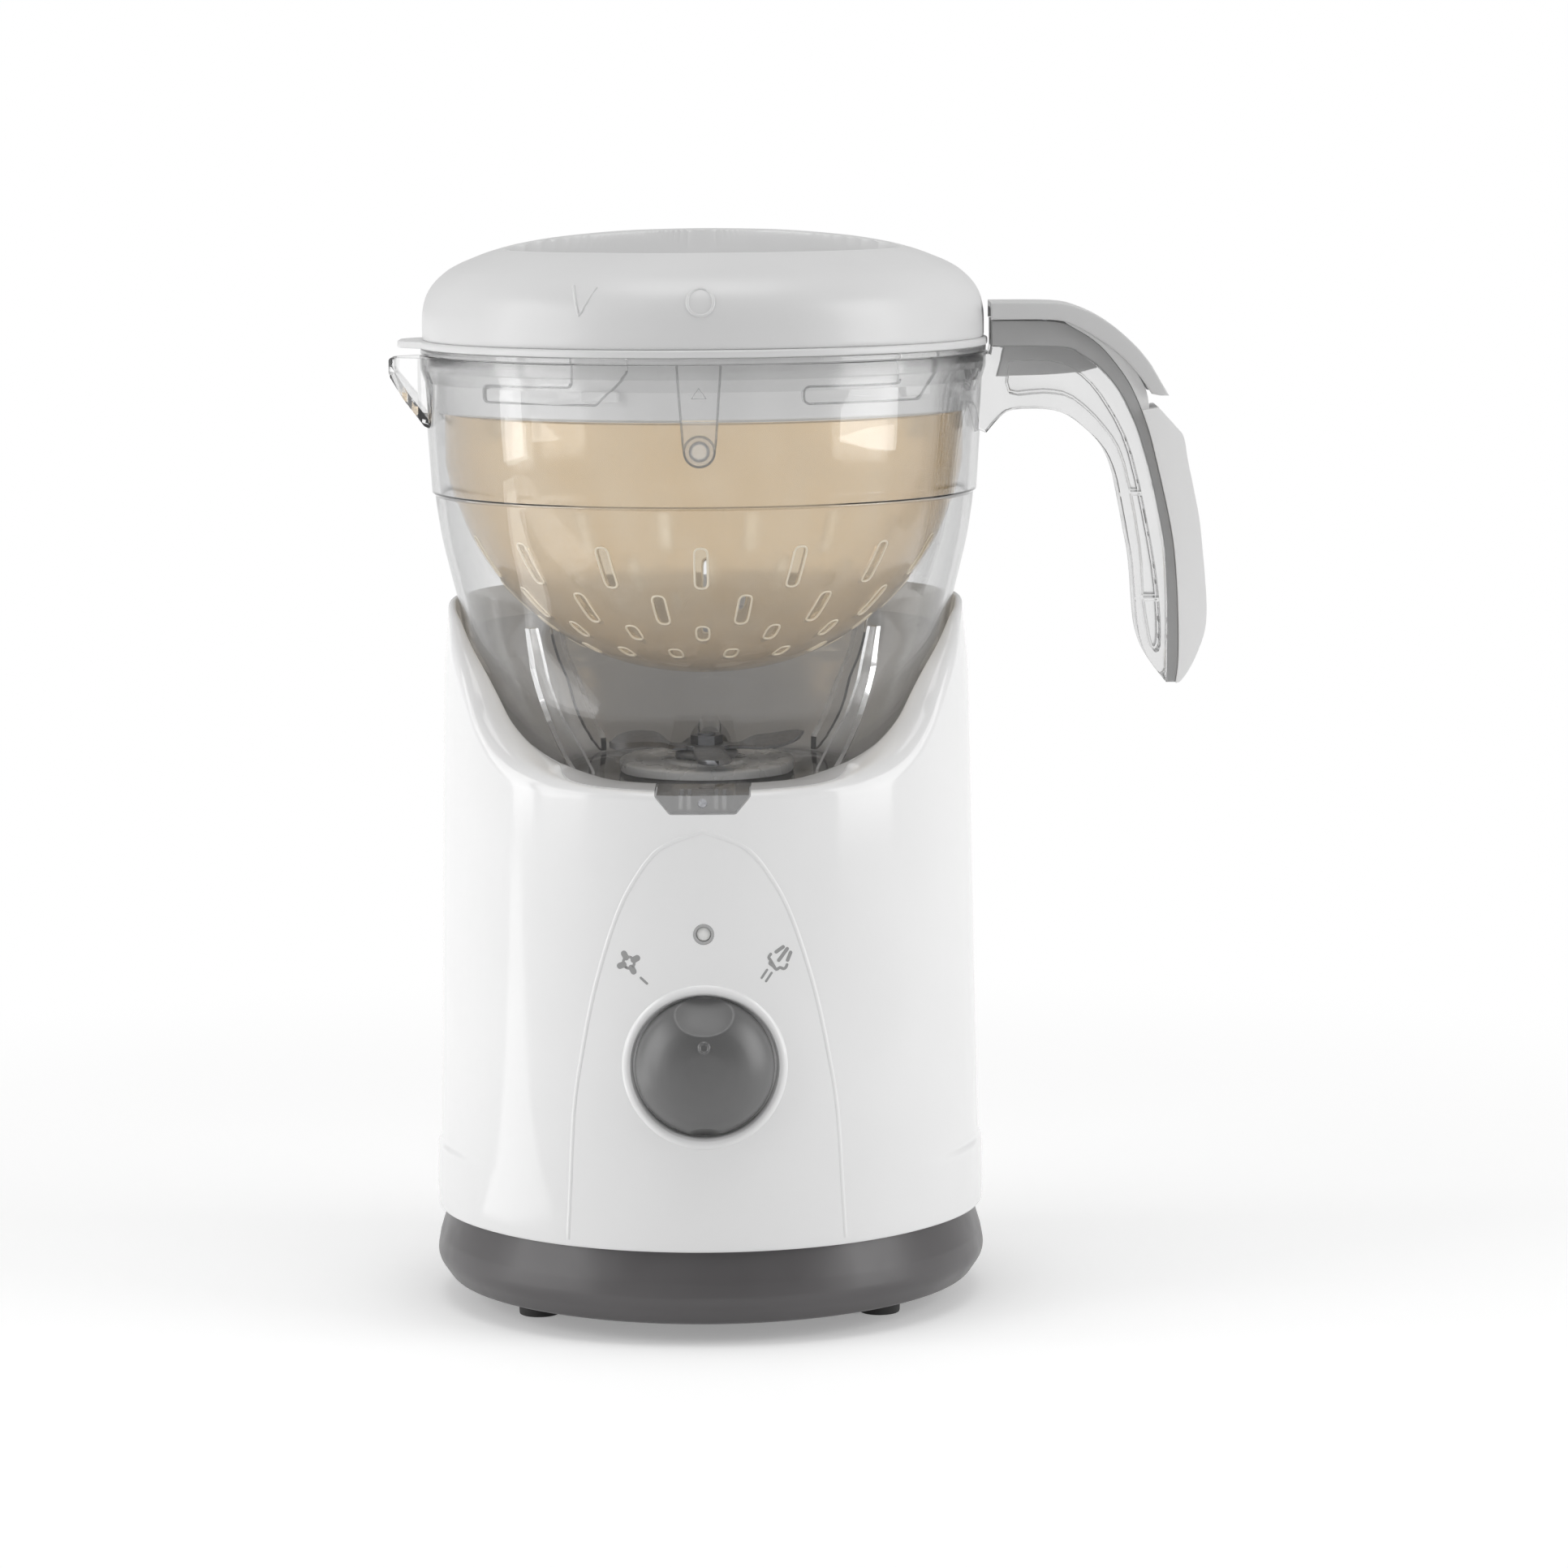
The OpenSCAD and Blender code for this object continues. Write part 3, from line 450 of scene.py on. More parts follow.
def ease(x: float | np.ndarray) -> Any:
    """Returns a smooth step from 0 at 0 to 1 at 1."""
    t = np.clip(x, 0.0, 1.0)
    return t * t * t * (t * (6 * t - 15) + 10)


def bent(start: np.ndarray, corner: np.ndarray, end: np.ndarray, t: float | np.ndarray) -> np.ndarray:
    """Returns the place at t, from 0 to 1, on a curve that leaves and arrives towards a corner."""
    return start * (1 - t) ** 2 + corner * 2 * t * (1 - t) + end * t * t


def smoothed(points: Sequence[Point], steps: int) -> Outline:
    """Draws a curve through every point.

    Args:
        points: The points it passes.
        steps: Spans between two points.

    Returns:
        The finer line.
    """
    p = [np.array(q, float) for q in points]
    line = []
    for i in range(len(p) - 1):
        a, b, c, d = p[max(i - 1, 0)], p[i], p[i + 1], p[min(i + 2, len(p) - 1)]
        for k in range(steps):
            t = k / steps
            line.append(0.5 * (2 * b + (c - a) * t + (2 * a - 5 * b + 4 * c - d) * t * t
                               + (3 * b - a - 3 * c + d) * t ** 3))
    return [tuple(map(float, q)) for q in line + [p[-1]]]


def rounded(points: Sequence[Point], radius: float, steps: int = 4, closed: bool = True) -> Outline:
    """Rounds the corners of an outline that turn by more than a little.

    Args:
        points: The corners, in order. A third number in one is its own radius.
        radius: The radius of the others.
        steps: Spans in each rounded corner.
        closed: True if the last point joins the first.

    Returns:
        The outline with its corners rounded.
    """
    count = len(points)
    line = []
    for i, point in enumerate(points):
        here = np.array(point[:2], float)
        if not closed and i in (0, count - 1):
            line.append(here)
            continue
        before = np.array(points[i - 1][:2], float) - here
        after = np.array(points[(i + 1) % count][:2], float) - here
        la, lb = np.linalg.norm(before), np.linalg.norm(after)
        turn = math.pi - math.acos(float(np.clip(before @ after / (la * lb), -1, 1)))
        r = point[2] if len(point) > 2 else radius
        cut = min(r * math.tan(turn / 2), 0.45 * la, 0.45 * lb)
        if turn < 0.1 or cut < 0.02:
            line.append(here)
            continue
        start, end = here + before / la * cut, here + after / lb * cut
        line += [bent(start, here, end, k / steps) for k in range(steps + 1)]
    return [tuple(map(float, q)) for q in line]


def rect(left: float, low: float, right: float, high: float, *corner: float) -> list[Point]:
    """Returns a rectangle's corners; a further number is given to each, as its own radius."""
    return [(left, low, *corner), (right, low, *corner), (right, high, *corner), (left, high, *corner)]


def circle(radius: float, height: float, count: int) -> Outline:
    """Returns points round a circle whose middle is at a height."""
    return [(radius * math.cos(t), height + radius * math.sin(t))
            for t in np.linspace(0, FULL_TURN, count, endpoint=False)]


def from_front(r: float, angle: float, z: float) -> Point:
    """Returns the place at a radius, an angle from -Y towards +X in radians, and a height."""
    return (r * math.sin(angle), -r * math.cos(angle), z)


def from_side(r: float, angle: float, z: float) -> Point:
    """Returns the place at a radius, an angle from +X towards +Y in radians, and a height."""
    return (r * math.cos(angle), r * math.sin(angle), z)


def ribbon(line: Sequence[Point], half: float) -> Outline:
    """Draws the outline of a stroke with round ends.

    Args:
        line: Its middle line.
        half: Half its width.

    Returns:
        The closed outline, anticlockwise.
    """
    points = np.array([p[:2] for p in line])
    along_it = np.gradient(points, axis=0)
    along_it /= np.linalg.norm(along_it, axis=1)[:, None]
    across = np.stack([-along_it[:, 1], along_it[:, 0]], axis=1) * half
    sides = (points - across, (points + across)[::-1])
    outline: Outline = []
    for side, tip, way in zip(sides, (points[-1], points[0]), (along_it[-1], -along_it[0])):
        first = math.atan2(way[1], way[0]) - math.pi / 2
        outline += map(tuple, side)
        outline += [(tip[0] + half * math.cos(first + t), tip[1] + half * math.sin(first + t))
                    for t in np.linspace(0, math.pi, 9)[1:-1]]
    return outline


@contextmanager
def edited(piece: Piece) -> Iterator[bmesh.types.BMesh]:
    """Lends a piece's mesh for editing and puts it back.

    Args:
        piece: The object whose mesh is edited.

    Yields:
        The mesh to edit.
    """
    work = bmesh.new()
    work.from_mesh(piece.data)
    yield work
    work.to_mesh(piece.data)
    work.free()


def linked(name: str, data: bpy.types.ID) -> Piece:
    """Puts data into a new object in the scene.

    Args:
        name: The object's name.
        data: Its mesh, lamp or camera.

    Returns:
        The new object, at the origin.
    """
    made = bpy.data.objects.new(name, data)
    bpy.context.scene.collection.objects.link(made)
    return made


def drawn(name: str, points: Iterable[Point], edges: Sequence[Sequence[int]],
          faces: Iterable[Sequence[int]]) -> Piece:
    """Makes a mesh object from millimetres.

    Args:
        name: The piece's name.
        points: Corners in millimetres.
        edges: Corner numbers of each loose edge.
        faces: Corner numbers of each face.

    Returns:
        The new object, at the origin.
    """
    mesh = bpy.data.meshes.new(name)
    mesh.from_pydata([tuple(float(c) * MM for c in p) for p in points], edges, [tuple(f) for f in faces])
    return linked(name, mesh)


def tidied(piece: Piece) -> Piece:
    """Merges doubles and turns the faces outwards.

    Args:
        piece: The object whose mesh is tidied.

    Returns:
        The same object.
    """
    near = 0.002 * MM
    with edited(piece) as work:
        bmesh.ops.remove_doubles(work, verts=work.verts, dist=near)
        bmesh.ops.dissolve_degenerate(work, edges=work.edges, dist=near)
        bmesh.ops.recalc_face_normals(work, faces=work.faces)
    return piece


def grid(name: str, points: np.ndarray, wrap: bool, loop: bool) -> Piece:
    """Makes a surface from rows and columns of points.

    Args:
        name: The piece's name.
        points: Array of columns by rows by three, in millimetres.
        wrap: True if the last column joins the first.
        loop: True if the last row joins the first.

    Returns:
        The new object.
    """
    columns, rows = points.shape[:2]
    faces = [(c * rows + r, (c + 1) % columns * rows + r, (c + 1) % columns * rows + (r + 1) % rows,
              c * rows + (r + 1) % rows)
             for c in range(columns if wrap else columns - 1) for r in range(rows if loop else rows - 1)]
    return tidied(drawn(name, points.reshape(-1, 3), [], faces))


def turned(name: str, profile: Sequence[Point], columns: int, loop: bool = True) -> Piece:
    """Turns a profile of radius and height about the upright axis.

    Args:
        name: The piece's name.
        profile: Pairs of radius and height.
        columns: Steps in a turn.
        loop: True if the profile is a closed outline; otherwise it starts and ends on the axis.

    Returns:
        The new object.
    """
    angles = np.linspace(0, FULL_TURN, columns, endpoint=False)
    r, z = np.array([p[:2] for p in profile], float).T
    points = np.stack([np.outer(np.cos(angles), r), np.outer(np.sin(angles), r),
                       np.tile(z, (columns, 1))], axis=2)
    return grid(name, points, True, loop)


def rod(name: str, radius: float, low: float, high: float, columns: int) -> Piece:
    """Turns a plain upright rod between two heights."""
    return turned(name, [(0, low), (radius, low), (radius, high), (0, high)], columns, False)


def wall_of(name: str, column: Callable[[float], np.ndarray], count: int) -> Piece:
    """Builds a wall from its closed cut at each angle from the front.

    Args:
        name: The piece's name.
        column: Gives the cut at an angle in degrees, as radius and height.
        count: Cuts in a turn.

    Returns:
        The new object.
    """
    az = np.linspace(-180, 180, count, endpoint=False)
    cut = np.stack([column(float(a)) for a in az])
    turn = np.radians(az)[:, None]
    points = np.stack([cut[..., 0] * np.sin(turn), -cut[..., 0] * np.cos(turn), cut[..., 1]], axis=2)
    return grid(name, points, True, True)


def moved(piece: Piece, x: float = 0.0, y: float = 0.0, z: float = 0.0, turn: float = 0.0,
          axis: str = "Z") -> Piece:
    """Turns a piece about an axis through the origin and then shifts it, in its mesh.

    Args:
        piece: The piece.
        x: Shift along X.
        y: Shift along Y.
        z: Shift along Z.
        turn: Angle in degrees.
        axis: The axis of that turn.

    Returns:
        The same object.
    """
    spin = Matrix.Rotation(math.radians(turn), 4, axis)
    piece.data.transform(Matrix.Translation((x * MM, y * MM, z * MM)) @ spin)
    return piece


def facing_front(piece: Piece, z: float) -> Piece:
    """Lays an upright turned piece down at a height, so that its top faces -Y."""
    return moved(piece, z=z, turn=90.0, axis="X")


def prism(name: str, low_ring: Sequence[Point], high_ring: Sequence[Point]) -> Piece:
    """Makes a solid between two outlines of the same count.

    Args:
        name: The piece's name.
        low_ring: Corners of the first end.
        high_ring: Corners of the other end.

    Returns:
        The new object.
    """
    n = len(low_ring)
    faces = [tuple(range(n)), tuple(range(2 * n - 1, n - 1, -1))]
    faces += [(i, (i + 1) % n, n + (i + 1) % n, n + i) for i in range(n)]
    return tidied(drawn(name, [*low_ring, *high_ring], [], faces))


def plate(name: str, outline: Sequence[Point], low: float, high: float, axis: str = "Y",
          bevel: float = 0.0, bevel_steps: int = 3) -> Piece:
    """Gives a flat outline a thickness.

    Args:
        name: The piece's name.
        outline: Corners, as X and Z for a thickness along Y, X and Y for Z, or Y and Z for X.
        low: Where the thickness starts.
        high: Where it ends.
        axis: The direction of the thickness.
        bevel: Width of the rounding on the two flat faces' edges.
        bevel_steps: Steps in that rounding.

    Returns:
        The new object.
    """
    place: dict[str, Callable[[float, float, float], Point]] = {
        "Y": lambda a, b, c: (a, c, b), "Z": lambda a, b, c: (a, b, c), "X": lambda a, b, c: (c, a, b)}
    put = place[axis]
    piece = prism(name, *([put(p[0], p[1], level) for p in outline] for level in (low, high)))
    if bevel:
        with edited(piece) as work:
            index = "XYZ".index(axis)
            flat = [f for f in work.faces if abs(f.normal[index]) > 0.99]
            bmesh.ops.bevel(work, geom=list({e for f in flat for e in f.edges}), offset=bevel * MM,
                            segments=bevel_steps, profile=0.6, affect="EDGES", clamp_overlap=True)
        tidied(piece)
    return piece


def baked(piece: Piece) -> Piece:
    """Turns what a piece's modifiers give into its own plain mesh and removes them.

    Args:
        piece: The piece, a mesh object.

    Returns:
        The same object.
    """
    graph = bpy.context.evaluated_depsgraph_get()
    mesh = bpy.data.meshes.new_from_object(piece.evaluated_get(graph), depsgraph=graph)
    piece.modifiers.clear()
    piece.data = mesh
    return piece


class Join(str, Enum):
    """How two solids are put together."""

    ADD = "UNION"
    CUT = "DIFFERENCE"
    KEEP = "INTERSECT"


def combined(piece: Piece, how: Join, *others: Piece) -> Piece:
    """Adds solids to a piece, cuts them from it, or keeps what they share; the others are used up.

    Args:
        piece: The piece that stays.
        how: What is done.
        others: The solids it is done with.

    Returns:
        The same object.
    """
    for other in others:
        step = piece.modifiers.new("step", "BOOLEAN")
        step.operation, step.object, step.solver = how.value, other, "MANIFOLD"
        baked(piece)
        bpy.data.objects.remove(other)
    return tidied(piece)


def merged(name: str, pieces: Sequence[Piece]) -> Piece:
    """Puts several meshes into one object without joining their faces.

    Args:
        name: The new piece's name.
        pieces: The meshes; they are used up.

    Returns:
        The new object.
    """
    points: list[Point] = []
    faces: list[tuple[int, ...]] = []
    for piece in pieces:
        start = len(points)
        points += [tuple(c / MM for c in v.co) for v in piece.data.vertices]
        faces += [tuple(start + i for i in f.vertices) for f in piece.data.polygons]
        bpy.data.objects.remove(piece)
    return tidied(drawn(name, points, [], faces))


# ---------------------------------------------------------------- node trees for repeated pieces


class NodeTree:
    """A Geometry Nodes tree with named inputs, made once."""

    _made: dict[str, Tree] = {}

    def __init__(self, name: str, inputs: dict[str, str], fill: Callable[..., Socket]) -> None:
        """Makes the tree or finds it.

        Args:
            name: The tree's name.
            inputs: Name of each size to its socket type.
            fill: Adds the nodes; it is given the tree and its input node, and returns the geometry.
        """
        if name not in NodeTree._made:
            tree = bpy.data.node_groups.new(name, "GeometryNodeTree")
            kinds = {"Geometry": "NodeSocketGeometry", **inputs, "Material": "NodeSocketMaterial"}
            for label, kind in kinds.items():
                tree.interface.new_socket(name=label, in_out="INPUT", socket_type=kind)
            tree.interface.new_socket(name="Geometry", in_out="OUTPUT", socket_type="NodeSocketGeometry")
            given = add_node(tree, "NodeGroupInput")
            real = add_node(tree, "GeometryNodeRealizeInstances", {"Geometry": fill(tree, given)})
            dressed = add_node(tree, "GeometryNodeSetMaterial",
                               {"Geometry": real.outputs["Geometry"], "Material": given.outputs["Material"]})
            add_node(tree, "NodeGroupOutput", {"Geometry": dressed.outputs["Geometry"]})
            NodeTree._made[name] = tree
        self.tree = NodeTree._made[name]

    def run(self, piece: Piece, finish: Finish, **sizes: float) -> Piece:
        """Runs the tree on a piece and leaves a plain mesh.

        Args:
            piece: What the tree starts from.
            finish: The finish of what it makes.
            sizes: Value of each named input, with _ for a space.

        Returns:
            The finished mesh object.
        """
        step = piece.modifiers.new("tree", "NODES")
        step.node_group = self.tree
        wanted = {key.replace("_", " ").capitalize(): value for key, value in sizes.items()}
        wanted["Material"] = finish.material()
        for item in self.tree.interface.items_tree:
            if item.in_out == "INPUT" and item.name in wanted:
                step[item.identifier] = wanted[item.name]
        piece.update_tag()
        return tidied(baked(piece))


def fill_ring(tree: Tree, given: Node) -> Socket:
    """Copies the piece round the upright axis, by Count from First angle in degrees.

    Args:
        tree: The tree to fill.
        given: Its input node.

    Returns:
        The copies.
    """
    count = given.outputs["Count"]
    index = add_node(tree, "GeometryNodeInputIndex")
    pitch = add_node(tree, "ShaderNodeMath", {0: 360.0, 1: count}, operation="DIVIDE")
    turn = add_node(tree, "ShaderNodeMath", {0: index.outputs[0], 1: pitch.outputs[0],
                                             2: given.outputs["First angle"]}, operation="MULTIPLY_ADD")
    angle = add_node(tree, "ShaderNodeMath", {0: turn.outputs[0]}, operation="RADIANS")
    spin = add_node(tree, "ShaderNodeCombineXYZ", {"Z": angle.outputs[0]})
    points = add_node(tree, "GeometryNodePoints", {"Count": count})
    return add_node(tree, "GeometryNodeInstanceOnPoints",
                    {"Points": points.outputs[0], "Instance": given.outputs["Geometry"],
                     "Rotation": spin.outputs[0]}).outputs["Instances"]


def fill_bead(tree: Tree, given: Node) -> Socket:
    """Sweeps a round bead of Radius, in metres, along the piece's line.

    Args:
        tree: The tree to fill.
        given: Its input node.

    Returns:
        The bead.
    """
    line = add_node(tree, "GeometryNodeMeshToCurve", {"Mesh": given.outputs["Geometry"]})
    ring = add_node(tree, "GeometryNodeCurvePrimitiveCircle",
                    {"Resolution": 8, "Radius": given.outputs["Radius"]})
    return add_node(tree, "GeometryNodeCurveToMesh",
                    {"Curve": line.outputs["Curve"], "Profile Curve": ring.outputs["Curve"],
                     "Fill Caps": True}).outputs["Mesh"]


def ring_of(piece: Piece, count: int, first: float, finish: Finish) -> Piece:
    """Repeats a piece round the upright axis; first is the first copy's angle in degrees from +X."""
    tree = NodeTree("ring_of_copies", {"Count": "NodeSocketInt", "First angle": "NodeSocketFloat"}, fill_ring)
    return tree.run(piece, finish, count=count, first_angle=float(first))


def bead(name: str, line: Sequence[Point], radius: float, finish: Finish, closed: bool = False) -> Piece:
    """Lays a round bead along a line.

    Args:
        name: The piece's name.
        line: Points in millimetres.
        radius: The bead's radius.
        finish: Its finish.
        closed: True if the line's end joins its start.

    Returns:
        The bead's mesh.
    """
    count = len(line)
    edges = [(i, (i + 1) % count) for i in range(count if closed else count - 1)]
    tree = NodeTree("bead_on_line", {"Radius": "NodeSocketFloat"}, fill_bead)
    return tree.run(drawn(name, line, edges, []), finish, radius=radius * MM)


BEAD_CREASE = 60.0


def dress(piece: Piece, body: Body, slot: str, finish: Finish, *nodes: str, crease: float = 32.0) -> Piece:
    """Shades a finished piece and gives it its material and its place in the frame.

    Args:
        piece: The piece, in place.
        body: The body it rides on.
        slot: The record's material slot; not used.
        finish: Its finish.
        nodes: The CAD nodes that it stands for.
        crease: Edges that turn by more degrees than this stay crisp.

    Returns:
        The same object.
    """
    piece.data.shade_smooth()
    piece.data.set_sharp_from_angle(angle=math.radians(crease))
    piece.data.materials.clear()
    piece.data.materials.append(finish.material())
    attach(piece, body.value)
    if nodes:
        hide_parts(*nodes)
    LOG.info("%s: %d faces on %s", piece.name, len(piece.data.polygons), body.value)
    return piece


# ---------------------------------------------------------------- the machine base


@dataclass
class Casing:
    """The white casing, with its front scoop, control panel and the holes through it."""

    wall: float = 2.4
    columns: int = 360
    bottom: float = 26.5
    fixed_top: float = 140.0
    outer: tuple = ((26.5, 77.3), (46, 77.15), (90, 76.3), (130, 75.6), (165, 74.9), (182, 74.4),
                    (192, 73.4), (200, 72.8))
    skirt: tuple = ((26.5, 0.8), (34, 1.1), (44.0, 0.95), (46.6, 0.1), (50, 0))
    skirt_from: float = 42.0
    skirt_over: float = 40.0
    shoulder: tuple = ((0, 2.2), (24, 2.4), (38, 5.0), (50, 7.0), (60, 7.0), (72, 4.5), (85, 1.6),
                       (180, 1.5))
    rim: tuple = ((0, 153), (23, 154), (31, 155.2), (37, 157), (44, 159.8), (50, 163.6), (57.5, 171.2),
                  (61.6, 177.5), (66, 183), (74, 190.5), (80, 196), (90, 199.6), (105, 200), (180, 200))
    seat: tuple = ((0, 152.7), (25, 153.2), (44.6, 157.4), (60.5, 166), (70, 172.5), (79.8, 179.5),
                   (90, 183.6), (105, 185), (180, 185))
    bowl: tuple = ((142.5, 45), (146.5, 49), (152.8, 53.6), (160.3, 59), (169, 63.6), (178.4, 67.5),
                   (185, 69.4))
    well_out: float = 22.7
    well_in: float = 20.0
    well_floor: float = -72.6
    well_lip: float = 0.6
    shaft_hole: float = 3.4
    lamp_hole: float = 2.85
    cord_hole: float = 6.6
    notch: tuple = ((-13.1, 152.2, 1.0), (-9.1, 147.4, 1.4), (9.1, 147.4, 1.4), (13.1, 152.2, 1.0))
    pocket: tuple = ((-14.3, 151.8), (-14.0, 151.0), (-10.0, 146.2), (10.0, 146.2), (14.0, 151.0),
                     (14.3, 151.8), (13.15, 151.8), (9.15, 147.35), (-9.15, 147.35), (-13.15, 151.8))
    blade_at: tuple = (-15.67, 106.66)
    steam_at: tuple = (15.7, 107.46)
    ink_proud: float = 0.05
    ink_deep: float = -0.1
    ridge_r: float = 1.0
    ridge_sunk: float = -0.73
    arch: tuple = ((0, 143), (8.5, 138.5), (15.9, 126), (22.4, 103), (26.3, 80), (28.3, 61.7), (28.9, 46),
                   (29.7, 28.5))

    def radius(self, az: float, z: float | np.ndarray) -> Any:
        """Returns the outer radius at an angle from the front; towards the sides the skirt steps outwards."""
        aside = float(ease((abs(az) - self.skirt_from) / self.skirt_over))
        return along(z, self.outer) + along(z, self.skirt) * aside

    def face(self, az: float, z: float, out: float) -> Point:
        """Returns a point on the casing, at an angle from the front towards +X and a height."""
        return from_front(float(self.radius(az, z)) + out, math.radians(az), z)

    def front(self, x: float, z: float) -> float:
        """Returns where the casing's face is along Y, at a place across its front."""
        return -math.sqrt(float(along(z, self.outer)) ** 2 - x * x)

    def crest(self, az: float) -> tuple[float, float, float]:
        """Returns the rim's height, the wall's radius there and the radius of its rounded shoulder."""
        top = float(along(abs(az), self.rim))
        return top, float(along(top, self.outer)), float(along(abs(az), self.shoulder))

    def slope(self, az: float, steps: int) -> np.ndarray:
        """Draws the slope from the rim's crest down to the jug seat, as radius and height.

        Args:
            az: Angle from the front.
            steps: Spans along it.

        Returns:
            Array of steps + 1 pairs.
        """
        top, r_out, shoulder = self.crest(az)
        seat = float(along(abs(az), self.seat))
        start, end = np.array([r_out - shoulder, top]), np.array([float(along(seat, self.bowl)), seat])
        bend = np.array([start[0] - 0.5 * (start[0] - end[0]), top])
        return bent(start, bend, end, np.linspace(0, 1, steps + 1)[:, None])

    def column(self, az: float) -> np.ndarray:
        """Draws the closed cut through the wall at one angle.

        Args:
            az: Angle from the front.

        Returns:
            Pairs of radius and height.
        """
        top, r_out, shoulder = self.crest(az)
        zs = np.concatenate([
            np.linspace(27.4, 43.5, 7), np.linspace(44.2, 48.6, 12),
            np.linspace(52, self.fixed_top, 18),
            self.fixed_top + (top - shoulder - self.fixed_top) * np.linspace(0, 1, 13)[1:]])
        r = self.radius(az, zs)
        foot = [(r[0] - 0.9, self.bottom), (r[0] - 0.3, self.bottom + 0.15), (r[0] - 0.05, self.bottom + 0.5)]
        turn = np.linspace(0, math.pi / 2, 10)[1:-1]
        crown = np.stack([r[-1] - shoulder + shoulder * np.cos(turn),
                          top - shoulder + shoulder * np.sin(turn)], axis=1)
        slope = self.slope(az, 14)
        seat = slope[-1]
        wall_z = np.linspace(seat[1] - 2.2, self.bottom, 12)
        inside = np.stack([along(wall_z, self.outer) - self.wall, wall_z], axis=1)
        under = [(seat[0], seat[1] - 2.0)]
        return np.concatenate([foot, np.stack([r, zs], axis=1), crown, slope, under, inside])

    def well(self) -> Piece:
        """Builds the dished recess round the knob, which flows out of the casing's curve.

        Returns:
            The recess, closed at its back.
        """
        back = self.well_floor + 2.0
        radii = [*np.linspace(self.well_out, self.well_in, 14), self.well_in - 0.15, self.well_in - 0.3, 14.0,
                 self.shaft_hole]
        columns = []
        for a in np.linspace(0, FULL_TURN, 160, endpoint=False):
            rows = []
            for rho in radii:
                x, z = rho * math.sin(a), KNOB_Z + rho * math.cos(a)
                part = (self.well_out - rho) / (self.well_out - self.well_in)
                lip = (self.well_lip * math.sin(math.pi * min(part, 1.0) ** 0.8)
                       - 0.5 * max(0.0, part - 0.86) / 0.14)
                rows.append((x, self.well_floor if rho < self.well_in - 0.2 else self.front(x, z) - lip, z))
            for rho in (self.shaft_hole, self.well_out + 0.3):
                x, z = rho * math.sin(a), KNOB_Z + rho * math.cos(a)
                rows.append((x, back, z))
            rows.append((x, self.front(x, z) + 0.35, z))
            columns.append(rows)
        return grid("well", np.array(columns), True, True)

    def tools(self) -> list[Piece]:
        """Makes the tools that cut the well, the lamp hole, the cord hole and the notch for the jug's tab.

        Returns:
            The four tools.
        """
        notch = rounded([(-13.1, 157), *self.notch, (13.1, 157)], 0.1)
        return [facing_front(rod("rod", self.well_out, 60, 90, 128), KNOB_Z),
                facing_front(rod("rod", self.lamp_hole, 60, 90, 128), LAMP_Z),
                facing_front(rod("rod", self.cord_hole, -90, -60, 64), CORD_Z),
                plate("notch", notch, -100, -38)]

    def panel_bead(self) -> Piece:
        """Lays the fine ridge that outlines the control panel, in an arch.

        Returns:
            The ridge.
        """
        down = [(float(az), float(along(az, self.arch))) for az in
                np.concatenate([np.linspace(0, 6, 7), np.linspace(6.6, 29.7, 60)])]
        line = [(-az, z) for az, z in reversed(down[1:])] + down
        path = [self.face(az, z, self.ridge_sunk) for az, z in line]
        return bead("panel_ridge", path, self.ridge_r, WHITE_ABS)

    def print_on(self, name: str, shapes: list[Outline], centre: tuple[float, float]) -> Piece:
        """Prints flat shapes on the casing.

        Args:
            name: The piece's name.
            shapes: Outlines in millimetres about the symbol's centre.
            centre: Angle and height of that centre.

        Returns:
            The print, a thin skin on the casing.
        """
        az, z0 = centre
        middle = float(along(z0, self.outer)) * math.radians(az)
        parts = []
        for shape in shapes:
            part = plate("ink", [(middle + x, z0 + y) for x, y in shape], 0.0, 1.0)
            with edited(part) as work:
                for v in work.verts:
                    across, level, up = v.co.x / MM, v.co.y / MM, v.co.z / MM
                    angle = math.degrees(across / float(along(up, self.outer)))
                    out = self.ink_proud if level < 0.5 else self.ink_deep
                    v.co = [q * MM for q in self.face(angle, up, out)]
            parts.append(part)
        return merged(name, parts)

    def blade_symbol(self) -> list[Outline]:
        """Draws a four-armed mixing blade round a ring, with a pointer dash.

        Returns:
            The symbol's outlines.
        """
        shapes = []
        for a in (28.5, 119.0, 201.6, 299.5):
            c, s = math.cos(math.radians(a)), math.sin(math.radians(a))
            shapes.append(ribbon([(1.6 * c, 1.6 * s), (2.75 * c, 2.75 * s)], 0.86))
        inner, outer, step = 1.2, 1.95, math.pi / 12
        for i in range(24):
            near, far = i * step, (i + 1) * step
            shapes.append([(r * math.cos(t), r * math.sin(t)) for r, t in
                           ((inner, near), (outer, near), (outer, far), (inner, far))])
        return [*shapes, ribbon([(3.4, -4.1), (5.1, -5.6)], 0.34)]

    def steam_symbol(self) -> list[Outline]:
        """Draws a cloud with three rising strokes and two pointer dashes.

        Returns:
            The symbol's outlines.
        """
        cloud = [(-2.43, 1.36), (-3.0, 0.49), (-2.43, -0.39), (-2.72, -1.17), (-1.84, -1.84), (-0.87, -2.91),
                 (0.1, -2.43), (1.17, -2.82), (1.84, -2.43), (2.14, -1.75)]
        strokes = ([(-0.87, 1.94), (1.07, 3.2)], [(-0.15, -0.39), (2.23, 2.62)],
                   [(2.33, -0.49), (3.2, 1.55)])
        dashes = ([(-3.5, -2.91), (-5.0, -5.05)], [(-2.23, -3.79), (-3.79, -6.02)])
        return [ribbon(smoothed(cloud, 3), 0.4), *(ribbon(line, 0.5) for line in strokes),
                *(ribbon(line, 0.32) for line in dashes)]

